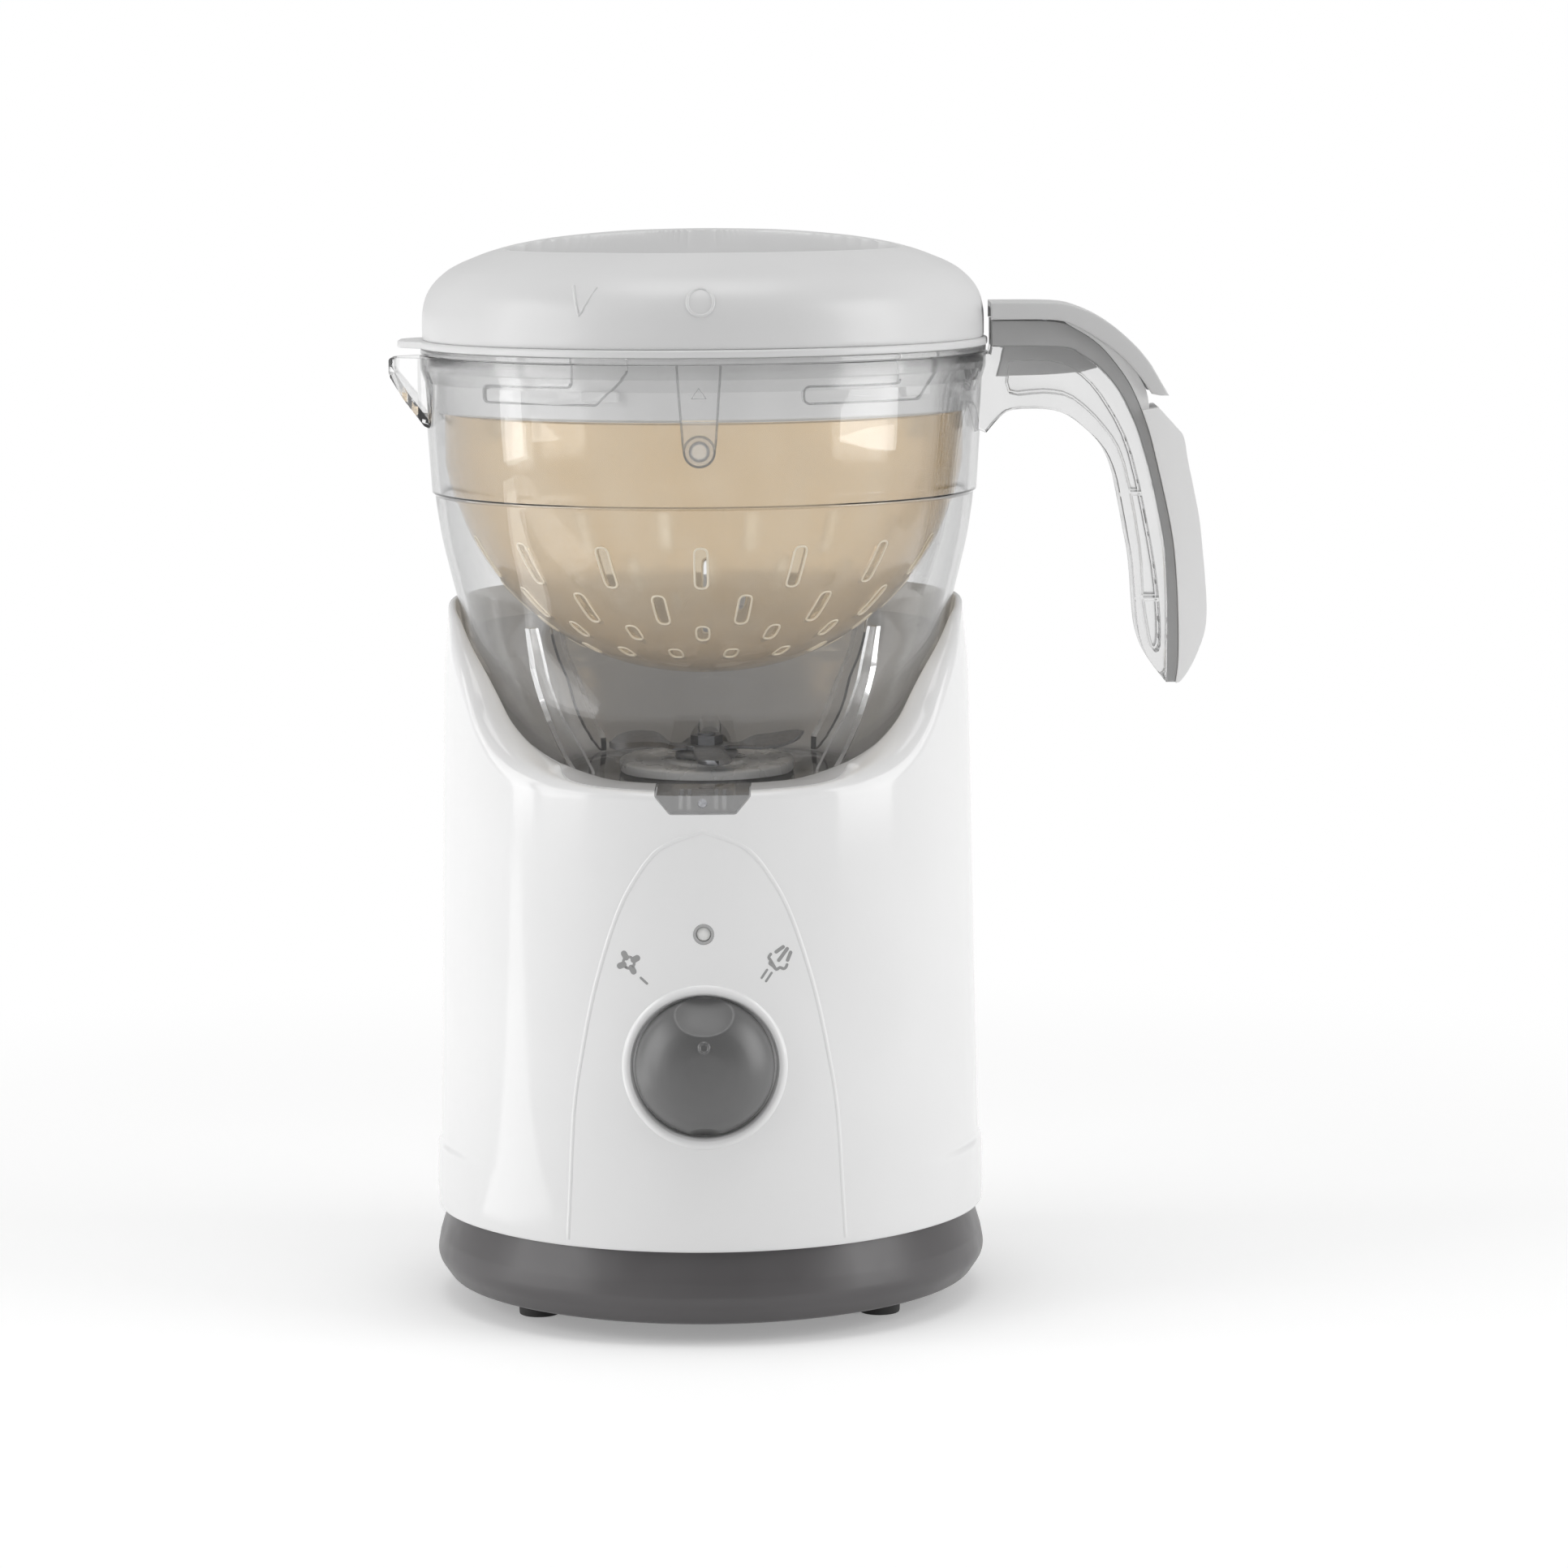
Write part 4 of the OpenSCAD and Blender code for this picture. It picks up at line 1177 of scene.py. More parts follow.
    def build(self) -> None:
        """Builds and dresses the casing, its ridge, the pocket under the jug's tab and the symbols."""
        shell = combined(wall_of("housing_shell", self.column, self.columns), Join.CUT, *self.tools())
        housing = merged("housing_shell", [shell, self.well()])
        dress(housing, Body.BASE, "casing_white", WHITE_ABS, "housing", crease=38.0)
        dress(self.panel_bead(), Body.BASE, "casing_white", WHITE_ABS, crease=BEAD_CREASE)
        dress(plate("tab_pocket", self.pocket, -73.2, -51.0), Body.BASE, "seat_grey", SEAT_GREY)
        for ink in (self.print_on("symbol_blend", self.blade_symbol(), self.blade_at),
                    self.print_on("symbol_steam", self.steam_symbol(), self.steam_at)):
            dress(ink, Body.BASE, "knob_grey", PRINT_GREY)


@dataclass
class Seat:
    """The grey bowl the jug stands in, with the floor that runs out to the casing's lip."""

    casing: Casing
    floor: float = 142.5
    underside: float = 140.4
    hole_r: float = 15.0
    steam_r: float = 6.6
    skin: float = 0.22
    lip_gap: float = 3.1
    apron_from: float = 26.0
    apron_over: float = 24.0
    pad_at: float = 38.0
    boss_at: float = 29.0

    def column(self, az: float) -> np.ndarray:
        """Draws the closed cut through the seat at one angle.

        Args:
            az: Angle from the front.

        Returns:
            Pairs of radius and height.
        """
        seat = float(along(abs(az), self.casing.seat))
        bowl_z = self.floor + (seat - self.floor) * np.linspace(0, 1, 16) ** 1.15
        bowl_r = along(bowl_z, self.casing.bowl)
        flat = [(r, self.floor) for r in (self.hole_r, 24, 34, 41)]
        slope = self.casing.slope(az, 40)[::-1]
        r_out = self.casing.crest(az)[1]
        spread = 1.0 - float(ease((abs(az) - self.apron_from) / self.apron_over))
        reach = bowl_r[-1] + max(0.4, (r_out - self.lip_gap - bowl_r[-1]) * spread)
        apron_r = np.linspace(bowl_r[-1], reach, 9)[1:]
        apron_z = np.interp(apron_r, slope[:, 0], slope[:, 1]) + self.skin
        bowl = np.stack([bowl_r, bowl_z + np.linspace(0, self.skin, 16)], axis=1)
        edge = [(apron_r[-1] + 0.12, apron_z[-1] - drop) for drop in (0.1, 0.6)]
        back = [(bowl_r[-1] + 0.3, seat - 1.2)]
        under = np.stack([bowl_r[::-1][1:] + 0.9, bowl_z[::-1][1:] - 1.9], axis=1)
        below = [(40, self.underside), (self.hole_r, self.underside)]
        apron = np.stack([apron_r, apron_z], axis=1)
        return np.concatenate([flat, bowl, apron, edge, back, under, below])

    def build(self) -> None:
        """Builds and dresses the seat with its four rest pads, bosses and steam hole."""
        seat = wall_of("jug_seat", self.column, 240)
        notch = plate("notch", [(-13.1, 158), *self.casing.notch, (13.1, 158)], -100, -38)
        combined(seat, Join.CUT, notch, moved(rod("hole", self.steam_r, 130, 160, 64), y=STEAM_Y))
        outline = rounded([(0, 142), (4, 142), (4, 148, 0.5), (0, 148)], 0.1, closed=False)
        pad = turned("pad", outline, 40, False)
        pads = ring_of(moved(pad, x=self.pad_at), 4, 45.0, SEAT_GREY)
        bosses = ring_of(moved(rod("boss", 4.5, 129, 141, 40), x=self.boss_at), 4, 0.0, SEAT_GREY)
        whole = merged("jug_seat", [seat, pads, bosses])
        dress(whole, Body.BASE, "seat_grey", SEAT_GREY, "cradle", crease=30.0)


@dataclass
class BaseDish:
    """The dark grey dish under the casing, with its vents and feet."""

    profile: tuple = ((73, 32), (73, 20), (75.6, 13.6), (75.6, 10.8), (72, 7.4), (0, 7.4))
    outside: tuple = ((0, 5), (70.5, 5, 3), (74.8, 6.2, 2.5), (78.8, 12.0, 6),
                      (77.7, 18.0, 9), (75.2, 26.2, 3), (75.2, 32, 0.3))
    vents: int = 12
    foot_x: float = 48.0
    foot_y: float = 34.0

    def feet(self) -> Piece:
        """Makes the four rubber feet, each a low button with a rounded edge and a moulded dimple.

        Returns:
            The set of feet.
        """
        shape = rounded([(0, 1.0), (3.2, 1.0), (3.8, 0, 0.3), (5.7, 0, 0.5), (6.0, 5.0)], 0.3, closed=False)
        return merged("rubber_foot_set", [
            moved(turned("foot", [*shape, (0, 5.0)], 48, False), sx * self.foot_x, sy * self.foot_y)
            for sx in (-1, 1) for sy in (-1, 1)])

    def build(self) -> None:
        """Builds and dresses the dish and its feet."""
        dish = turned("base_shell", rounded([*self.outside, *self.profile], 0.2, closed=False), 288, False)
        slot = plate("vent", rounded(rect(24, -1.5, 42, 1.5), 1.4), 4, 9, "Z")
        combined(dish, Join.CUT, ring_of(slot, self.vents, 15.0, BASE_GREY))
        dress(dish, Body.BASE, "base_grey", BASE_GREY, "base_dish", crease=34.0)
        dress(self.feet(), Body.BASE, "rubber_black", BLACK_RUBBER, "rubber_feet")


@dataclass
class Controls:
    """The knob, the ready lamp and the cord's rubber bush at the back."""

    knob_r: float = 19.1
    knob_y: float = -73.4
    dome: tuple = ((0, 12.1), (5, 11.85), (9, 11.0), (12, 9.8), (14.5, 8.2), (16.5, 6.4), (18, 4.5),
                   (18.8, 2.9), (19.1, 1.8))
    hollows: tuple = ((35.85, 25.8, 30.0), (-35.3, 12.7, 20.0))
    bezel: tuple = ((2.06, 71.6), (2.06, 76.0, 0.2), (2.82, 76.0, 0.3), (2.82, 71.6))
    lens: tuple = ((0, 50), (1.98, 50), (1.98, 75.4, 0.5), (0, 75.9, 0.2))
    bush: tuple = ((3.4, -70.5), (3.4, -80.75), (5.2, -80.75, 0.7), (6.0, -80.1, 0.4), (9, -79.9, 0.6),
                   (9, -78.6, 0.3), (6.5, -78.6, 0.2), (6.5, -74.7), (8.6, -74.6), (8.6, -70))

    def knob_height(self, x: np.ndarray, z: np.ndarray) -> np.ndarray:
        """Returns how far the knob's face stands out at places across it.

        Args:
            x: Places to the side of its axis.
            z: Places above its axis.

        Returns:
            Heights above the knob's back.
        """
        ring_mark = 0.34 * ease(1 - np.abs(np.hypot(x, z - 7.0) - 1.3) / 0.5)
        height = along(np.hypot(x, z), self.dome) + ring_mark
        for up, out, size in self.hollows:
            ball = out - np.sqrt(np.maximum(size ** 2 - x ** 2 - (z - up) ** 2, 0.01))
            height = -0.1 * np.logaddexp(-height / 0.1, -ball / 0.1)
        return np.maximum(height, 1.2)

    def knob(self) -> Piece:
        """Builds the knob: a dome with a finger hollow at its top, a ring mark and a shallow one at its foot.

        Returns:
            The knob.
        """
        turns = np.linspace(0, FULL_TURN, 260, endpoint=False)
        radii = np.concatenate([[0.0], np.linspace(0.3, 18.6, 92), [18.9, 19.1]])
        x, z = np.outer(np.sin(turns), radii), np.outer(np.cos(turns), radii)
        front = np.stack([x, self.knob_y - self.knob_height(x, z), z + KNOB_Z], axis=2)
        rows = ((0.5, self.knob_r), (0, self.knob_r - 0.4), (0, 3.1), (0.0, 0.0))
        side = np.stack([np.stack([r * np.sin(turns), np.full(len(turns), self.knob_y - y),
                                   r * np.cos(turns) + KNOB_Z], axis=1) for y, r in rows], axis=1)
        return grid("control_knob", np.concatenate([front, side], axis=1), True, False)

    def build(self) -> None:
        """Builds and dresses the controls."""
        dress(self.knob(), Body.KNOB, "knob_grey", KNOB_GREY, "knob", crease=35.0)
        bezel = facing_front(turned("lamp_bezel", rounded(self.bezel, 0.1, 3), 96), LAMP_Z)
        dress(bezel, Body.BASE, "knob_grey", BAND_GREY, "lamp_ring")
        lens = facing_front(turned("lamp_lens", rounded(self.lens, 0.1, 4, False), 64, False), LAMP_Z)
        dress(lens, Body.BASE, "milky_plastic", OPAL, "lamp_pipe")
        bush = facing_front(turned("cord_bush", rounded(self.bush, 0.2, 3), 96), CORD_Z)
        dress(bush, Body.BASE, "rubber_black", BLACK_RUBBER, "cord_gland")


# ---------------------------------------------------------------- the jug, its handle and its blades


@dataclass
class Handle:
    """The handle: clear frame, mid grey band, light grip cover and sprung lever."""

    frame_w: float = 22.0
    band_w: float = 20.6
    grip_w: float = 25.0
    lever_top: tuple = ((80.8, 283), (98.5, 282.8), (106, 281.2), (113.6, 277.4), (120.5, 271.6),
                        (125.1, 266.3), (128.1, 261.3), (130.8, 256.7))
    lever_under: tuple = ((80.8, 278.2), (98.5, 278.0), (105.5, 275.8), (113.0, 271.2), (118.3, 266.8),
                          (122.6, 262.0), (125.9, 257.2))
    lever_inside: tuple = ((70, 281.5), (98.4, 281.3), (105.2, 279.7), (112.4, 276.0), (119.0, 270.3),
                           (123.4, 265.1), (126.4, 260.1), (127.6, 250), (110, 250), (70, 270))
    band_top: tuple = ((81, 278.1), (98.5, 277.8), (104.6, 275.5), (111.4, 270.9), (117.5, 263.7),
                       (121.3, 257.2), (125.1, 247.3), (128.2, 235), (130.9, 222.8), (132.5, 212.8),
                       (133.5, 198.3), (133.7, 183), (132.9, 175.6))
    band_under: tuple = ((81, 270.7), (100.8, 270.4), (106, 268.3), (111.4, 264.5), (116.8, 258),
                         (121.3, 248.8), (125.1, 236.6), (127.8, 224.4), (129.8, 212.9), (130.5, 198.3),
                         (130.5, 183), (130.3, 175.6))
    frame_under: tuple = ((79.5, 246.5), (83.2, 250.7), (87, 252.9), (96.2, 253), (102.3, 251.3),
                          (108.3, 246.6), (112.9, 241.3), (115.6, 235.1), (117.1, 228.3), (119.1, 217.6),
                          (120.6, 209.1), (121.8, 193.7), (122.9, 187.7), (125.2, 182.2), (130.3, 175.6))
    grip_outer: tuple = ((127.9, 253.4), (132.7, 248.1), (135, 244.9), (136.2, 238.1), (138.1, 229),
                         (139.7, 219.7), (141.3, 202.1), (141.5, 195.2), (140.9, 189.9), (139, 184.4),
                         (136.8, 179.8), (134.4, 176.4), (132.9, 175.6))
    pocket: tuple = ((86, 266.5), (98, 266.4), (107, 262.5), (114.4, 253.4), (120.6, 240), (126.2, 214),
                     (128.3, 198), (128.6, 186), (126.6, 184.6), (125.2, 190), (123.8, 200), (122.8, 214),
                     (118.4, 237), (113, 247), (104, 255.6), (96, 257.4), (86, 257.4))
    neck_outer: tuple = ((100.5, 278.2), (105.9, 276.3), (113.3, 271.8), (118.6, 267.2), (122.3, 262.4),
                         (124.6, 257.6), (125.4, 252.6))
    web_half: float = 2.2
    ribs: tuple = ((229.0, 116.9), (199.0, 121.9))
    rib_half: float = 0.55
    rib_reach: float = 9.6
    lever_wall: float = 1.8
    # Lower edge of the grey rib that paints the band's reflection in the frame.
    core: tuple = ((82.5, 262.0), (92, 262.1), (99.5, 262.4), (106, 263.0), (110.6, 264.0))

    def across(self, name: str, outline: Sequence[Point], width: float, bevel: float,
               steps: int = 3) -> Piece:
        """Gives one of the handle's outlines its width, evenly to both sides, with rounded edges."""
        return plate(name, outline, -width / 2, width / 2, bevel=bevel, bevel_steps=steps)

    def clear_frame(self) -> Piece:
        """Builds the clear frame, hollowed from both sides, with two cross ribs.

        Returns:
            The frame.
        """
        outline = [*smoothed(self.frame_under, 3), *reversed(smoothed(self.band_under, 3)), (80.6, 268.6),
                   (77.2, 268.6), (77.0, 247.5)]
        frame_piece = self.across("frame", outline, self.frame_w, 1.3)
        loop = smoothed([*self.pocket, self.pocket[0]], 3)[:-1]
        combined(frame_piece, Join.CUT, *(plate("pocket", loop, side * self.web_half, side * self.frame_w,
                                                bevel=2.6, bevel_steps=5) for side in (-1, 1)))
        ribs = [plate("rib", rect(x, z - self.rib_half, 129.4, z + self.rib_half), -self.rib_reach,
                      self.rib_reach) for z, x in self.ribs]
        ribs = [combined(rib, Join.KEEP, plate("shape", outline, -20, 20)) for rib in ribs]
        return combined(frame_piece, Join.ADD, *ribs)

    def band_reflection_rib(self) -> Piece:
        """Builds a grey rib from the band that stands inside the clear frame, its lower edge thinning out to
        a blade: a painted reflection of the band in the frame.

        Returns:
            The rib.
        """
        under = smoothed([p for p in self.band_under if p[0] < 116], 4)
        line = [*[(x, z + 0.2) for x, z in under if 82.5 < x < 111.6], *reversed(smoothed(self.core, 4))]
        return self.across("band_reflection", line, 3.4, 1.3, 4)

    def lever(self) -> Piece:
        """Builds the lever, a shell that is open underneath.

        Returns:
            The lever.
        """
        outline = [*smoothed(self.lever_top, 4)[:-1], (130.8, 256.7), (128.4, 256.7),
                   *reversed(smoothed(self.lever_under, 4))]
        lever = self.across("release_lever", outline, self.grip_w, 1.5, 4)
        inside = self.grip_w - 2 * self.lever_wall
        return combined(lever, Join.CUT, self.across("hollow", self.lever_inside, inside, 0.5))

    def build(self) -> None:
        """Builds and dresses the band, the grey rib inside the frame that paints the band's reflection, the
        grip cover, the neck and the lever.
        """
        top = smoothed(self.band_top, 4)
        band = self.across("handle_band", [*top, *reversed(smoothed(self.band_under, 4))], self.band_w, 0.7)
        stand = rounded([(92.4, 276), (99.6, 276), (99.0, 280.9, 1), (93.0, 280.9, 1)], 0.3)
        combined(band, Join.ADD, plate("stand", stand, -7, 7))
        dress(band, Body.JUG, "band_grey", BAND_GREY, "handle_band")
        # The rib inside the frame is a painted reflection of the band, in a lighter grey.
        dress(self.band_reflection_rib(), Body.JUG, "band_grey", LEVER_GREY)
        start = next(i for i, p in enumerate(top) if p[1] < 252.9)
        grip = self.across("handle_grip", [*smoothed(self.grip_outer, 4), *reversed(top[start:-1])],
                           self.grip_w, 2.6, 5)
        dress(grip, Body.JUG, "grip_grey", GRIP_GREY, "handle_grip")
        cheek = [*smoothed(self.neck_outer, 4), *reversed([p for p in top if 252.0 < p[1] < 277.0])]
        cheeks = [plate("cheek", cheek, low, low + 4.0, bevel=0.4) for low in (-10.4, 6.4)]
        dress(merged("grip_neck", cheeks), Body.JUG, "grip_grey", GRIP_GREY, crease=40.0)
        dress(self.lever(), Body.LEVER, "grip_grey", LEVER_GREY, "release_lever")


@dataclass
class Jug:
    """The clear jug with its spout, ribs, locating tab and handle frame."""

    handle: Handle
    columns: int = 288
    frame_from: float = 80.4
    rim_from: float = 264.6
    outer: tuple = ((44, 148), (47.5, 149.5), (52, 154), (57.5, 161.5), (62, 170), (65.8, 179), (68.4, 188),
                    (69.8, 198), (72.2, 208), (74.3, 217), (75.6, 225), (76.2, 230))
    inner: tuple = ((43.5, 150.4), (46.2, 151.6), (50.1, 155.8), (55.4, 163), (59.8, 171.2), (63.5, 179.8),
                    (66.1, 188), (67.5, 198), (69.9, 208), (72, 217), (73.3, 225), (74, 230.2))
    outer_top: tuple = ((77.05, 230.7, 0.3), (78.2, 249), (79, 262), (80.1, 265.6, 2), (80.2, 269.4, 0.5))
    inner_top: tuple = ((74.8, 231.2, 0.3), (76, 249), (76.8, 262), (78, 269.4, 0.5))
    rib: tuple = ((44, 150), (48.5, 153), (57.5, 165.5), (61.8, 174), (65, 183), (67.2, 197), (64.6, 197),
                  (60.2, 181), (55.5, 171), (50, 163.6), (43.4, 154))
    tab_half: float = 12.6
    tab_reach: float = 75.6
    flutes: tuple = (-6.4, -4.2, 3.1, 5.3)
    spout_side: tuple = ((-70, 247, 0, 1), (-78.2, 249.5, 1, 1), (-84.2, 256.6, 1, 1), (-88.2, 262.6, 1, 1),
                         (-88.8, 264.4, 1, 1), (-88.8, 268.4, 1, 2), (-70, 268.6, 0, 2))
    spout_top: tuple = ((-70, -22, 0, 1.4), (-80, -11.6, 0, 1), (-88.8, -4.2, 1, 0.6))

    def wall(self) -> Piece:
        """Turns the jug's wall: a bowl that widens to a step, then the straighter rim.

        Returns:
            The wall.
        """
        outline = [(22, 150.4), (22, 148), *smoothed(self.outer, 3), *self.outer_top,
                   *reversed(self.inner_top), *reversed(smoothed(self.inner, 3))]
        return turned("jug_clear", rounded(outline, 0.35, 3), self.columns)

    def cavity(self) -> Piece:
        """Makes the solid that fills the jug's inside up to past the middle of its wall.

        Returns:
            The solid.
        """
        line = [(p[0] + 0.8, p[1] - 0.6) for p in smoothed(self.inner, 3)]
        line += [(75.8, 231.0), (77.0, 249), (77.9, 262), (79.0, 269.5), (79.0, 275)]
        return turned("cavity", [(0, 149.9), *line, (0, 275)], self.columns, False)

    def spout(self, inset: float) -> Piece:
        """Builds the pouring spout, or with an inset the channel inside it.

        Args:
            inset: How far its faces lie inside the spout's.

        Returns:
            The solid.
        """
        side, top = ([(a + inset * da, b + inset * db) for a, b, da, db in table]
                     for table in (self.spout_side, self.spout_top))
        top += [(x, -y) for x, y in reversed(top)]
        shape = plate("spout", rounded(side, 1.4), -30, 30)
        return combined(shape, Join.KEEP, plate("top", rounded(top, 2.4), 230, 290, "Z"))

    def tab(self) -> Piece:
        """Builds the locating tab that reaches out through the notch in the casing's lip.

        Returns:
            The tab.
        """
        half = self.tab_half
        face = rounded([(-half, 152.7, 0.5), (half, 152.7, 0.5), (half, 152.2, 0.3), (half - 4, 148, 1.2),
                        (-half + 4, 148, 1.2), (-half, 152.2, 0.3)], 0.3)
        tab = plate("tab", face, -80, -42, bevel=0.4)
        combined(tab, Join.KEEP, rod("limit", self.tab_reach, 140, 160, self.columns))
        return combined(tab, Join.CUT, *(plate("flute", rect(x, 148.9, x + 1.1, 156), -73.6, -62)
                                         for x in self.flutes))

    def build(self) -> None:
        """Joins the wall, the spout, the handle's frame, the tab and the ribs into one clear moulding."""
        outside = [self.spout(0.0), self.handle.clear_frame(), self.tab()]
        outside = [combined(part, Join.CUT, self.cavity()) for part in outside]
        rib = plate("rib", rect(44, 150.2, 75, 196), -1.1, 1.1)
        combined(rib, Join.KEEP, turned("limit", self.rib, 180))
        jug = combined(self.wall(), Join.ADD, *outside, ring_of(rib, 4, 45.0, CLEAR))
        steam = moved(rod("hole", 3.4, 140, 165, 64), y=STEAM_Y)
        magnet = facing_front(rod("hole", 1.25, 70.2, 80, 40), 150.6)
        pour = combined(self.spout(1.8), Join.KEEP, plate("side", rect(-100, 240, -74, 280), -30, 30))
        combined(jug, Join.CUT, pour, steam, magnet)
        jug.name = "jug_clear"
        dress(jug, Body.JUG, "clear_plastic", CLEAR, "jug", crease=30.0)
        for finish in (CLEAR_THICK_SHADED, CLEAR_TAB):
            jug.data.materials.append(finish.material())
        # The frame and the rim take the greyer clear, which is painted shade as well as thickness; the tab
        # takes its own clear.
        for face in jug.data.polygons:
            x, y, z = (v / MM for v in face.center)
            thick, tab = x > self.frame_from or z > self.rim_from, y < -60 and z < 153.5
            face.material_index = 1 if thick else 2 if tab else 0


@dataclass
class BladeSet:
    """The clear-set blade unit: holder disc, cross of bent blades and its collar."""

    arms: tuple = ((8, 0.3, (156.1, 156.1, 157.2, 157.8, 159.8)),
                   (188, -0.3, (156.1, 156.1, 158.2, 158.6, 156.9)),
                   (98, 0.05, (156.1, 156.1, 155.2, 154.8, 154.6)),
                   (278, 0.05, (156.1, 156.1, 155.6, 155.2, 155.2)))
    bend_at: float = 8.0
    ground_from: float = 10.0
    reach: tuple = (0, 9, 14, 20, 28)
    lead: tuple = ((0, 4.3), (9, 4.2), (14, 4.4), (21, 4.6), (26, 3.0), (28, 0.4))
    trail: tuple = ((0, 4.1), (9, 5.0), (14, 5.4), (22, 5.2), (26, 3.6), (28, 0.4))
    thick: float = 1.2
    ground: float = 0.16
    holder: tuple = ((7.05, 153.3), (7.05, 143.6), (11, 143.6), (11, 149.4), (20, 149.4), (20, 143.6),
                     (21.6, 143.6), (21.6, 150.9), (24.9, 150.9), (25, 153.3, 1.1), (20.5, 153.3, 0.4),
                     (19.8, 152.7, 0.4), (12.4, 152.7, 0.4), (11.8, 153.3, 0.4))
    boss: tuple = ((4.05, 153.7), (9, 153.7, 0.3), (9, 155.2, 0.9), (6.4, 156.1), (4.05, 156.1))

    def arm(self, turn: float, tilt: float, heights: Sequence[float]) -> Piece:
        """Builds one blade arm, ground thin along its leading edge and rounded at its tip.

        Args:
            turn: Its angle from +X.
            tilt: Rise across the arm for each millimetre, out at its bend.
            heights: Heights of its underside along its reach.

        Returns:
            The arm.
        """
        xs = np.linspace(0, self.reach[-1], 36)
        columns = []
        for x, z, a, b in zip(xs, along(xs, list(zip(self.reach, heights))), along(xs, self.lead),
                              along(xs, self.trail)):
            edge = self.ground if x > self.ground_from else self.thick
            rows = [(x, a, z + edge * 0.6), (x, a - 1.5, z + self.thick), (x, -b + 0.3, z + self.thick),
                    (x, -b, z + self.thick * 0.7), (x, -b, z + 0.2), (x, -b + 0.3, z), (x, a - 1.0, z),
                    (x, a, z)]
            lean = tilt * float(ease((x - self.bend_at) / self.bend_at))
            columns.append([(x, y, h + lean * y) for x, y, h in rows])
        piece = grid("arm", np.array(columns), False, True)
        with edited(piece) as work:
            bmesh.ops.holes_fill(work, edges=work.edges, sides=0)
        return moved(piece, turn=turn)

    def build(self) -> None:
        """Builds and dresses the blades, the holder disc and the boss under the blades."""
        hub = turned("hub", rounded(rect(2.55, 156.1, 7.5, 157.35), 0.2), 72)
        cross = merged("blade_cross", [*(self.arm(*arm) for arm in self.arms), hub])
        dress(cross, Body.BLADE, "steel", BLADE_STEEL_SHADED, "blades", crease=24.0)
        holder = turned("blade_holder", rounded(self.holder, 0.25, 3), 160)
        dress(holder, Body.JUG, "milky_plastic", MILKY, "blade_base")
        boss = turned("blade_boss", rounded(self.boss, 0.2, 3), 96)
        dress(boss, Body.BLADE, "knob_grey", KNOB_GREY, "blade_collar")


# ---------------------------------------------------------------- the basket and its collar


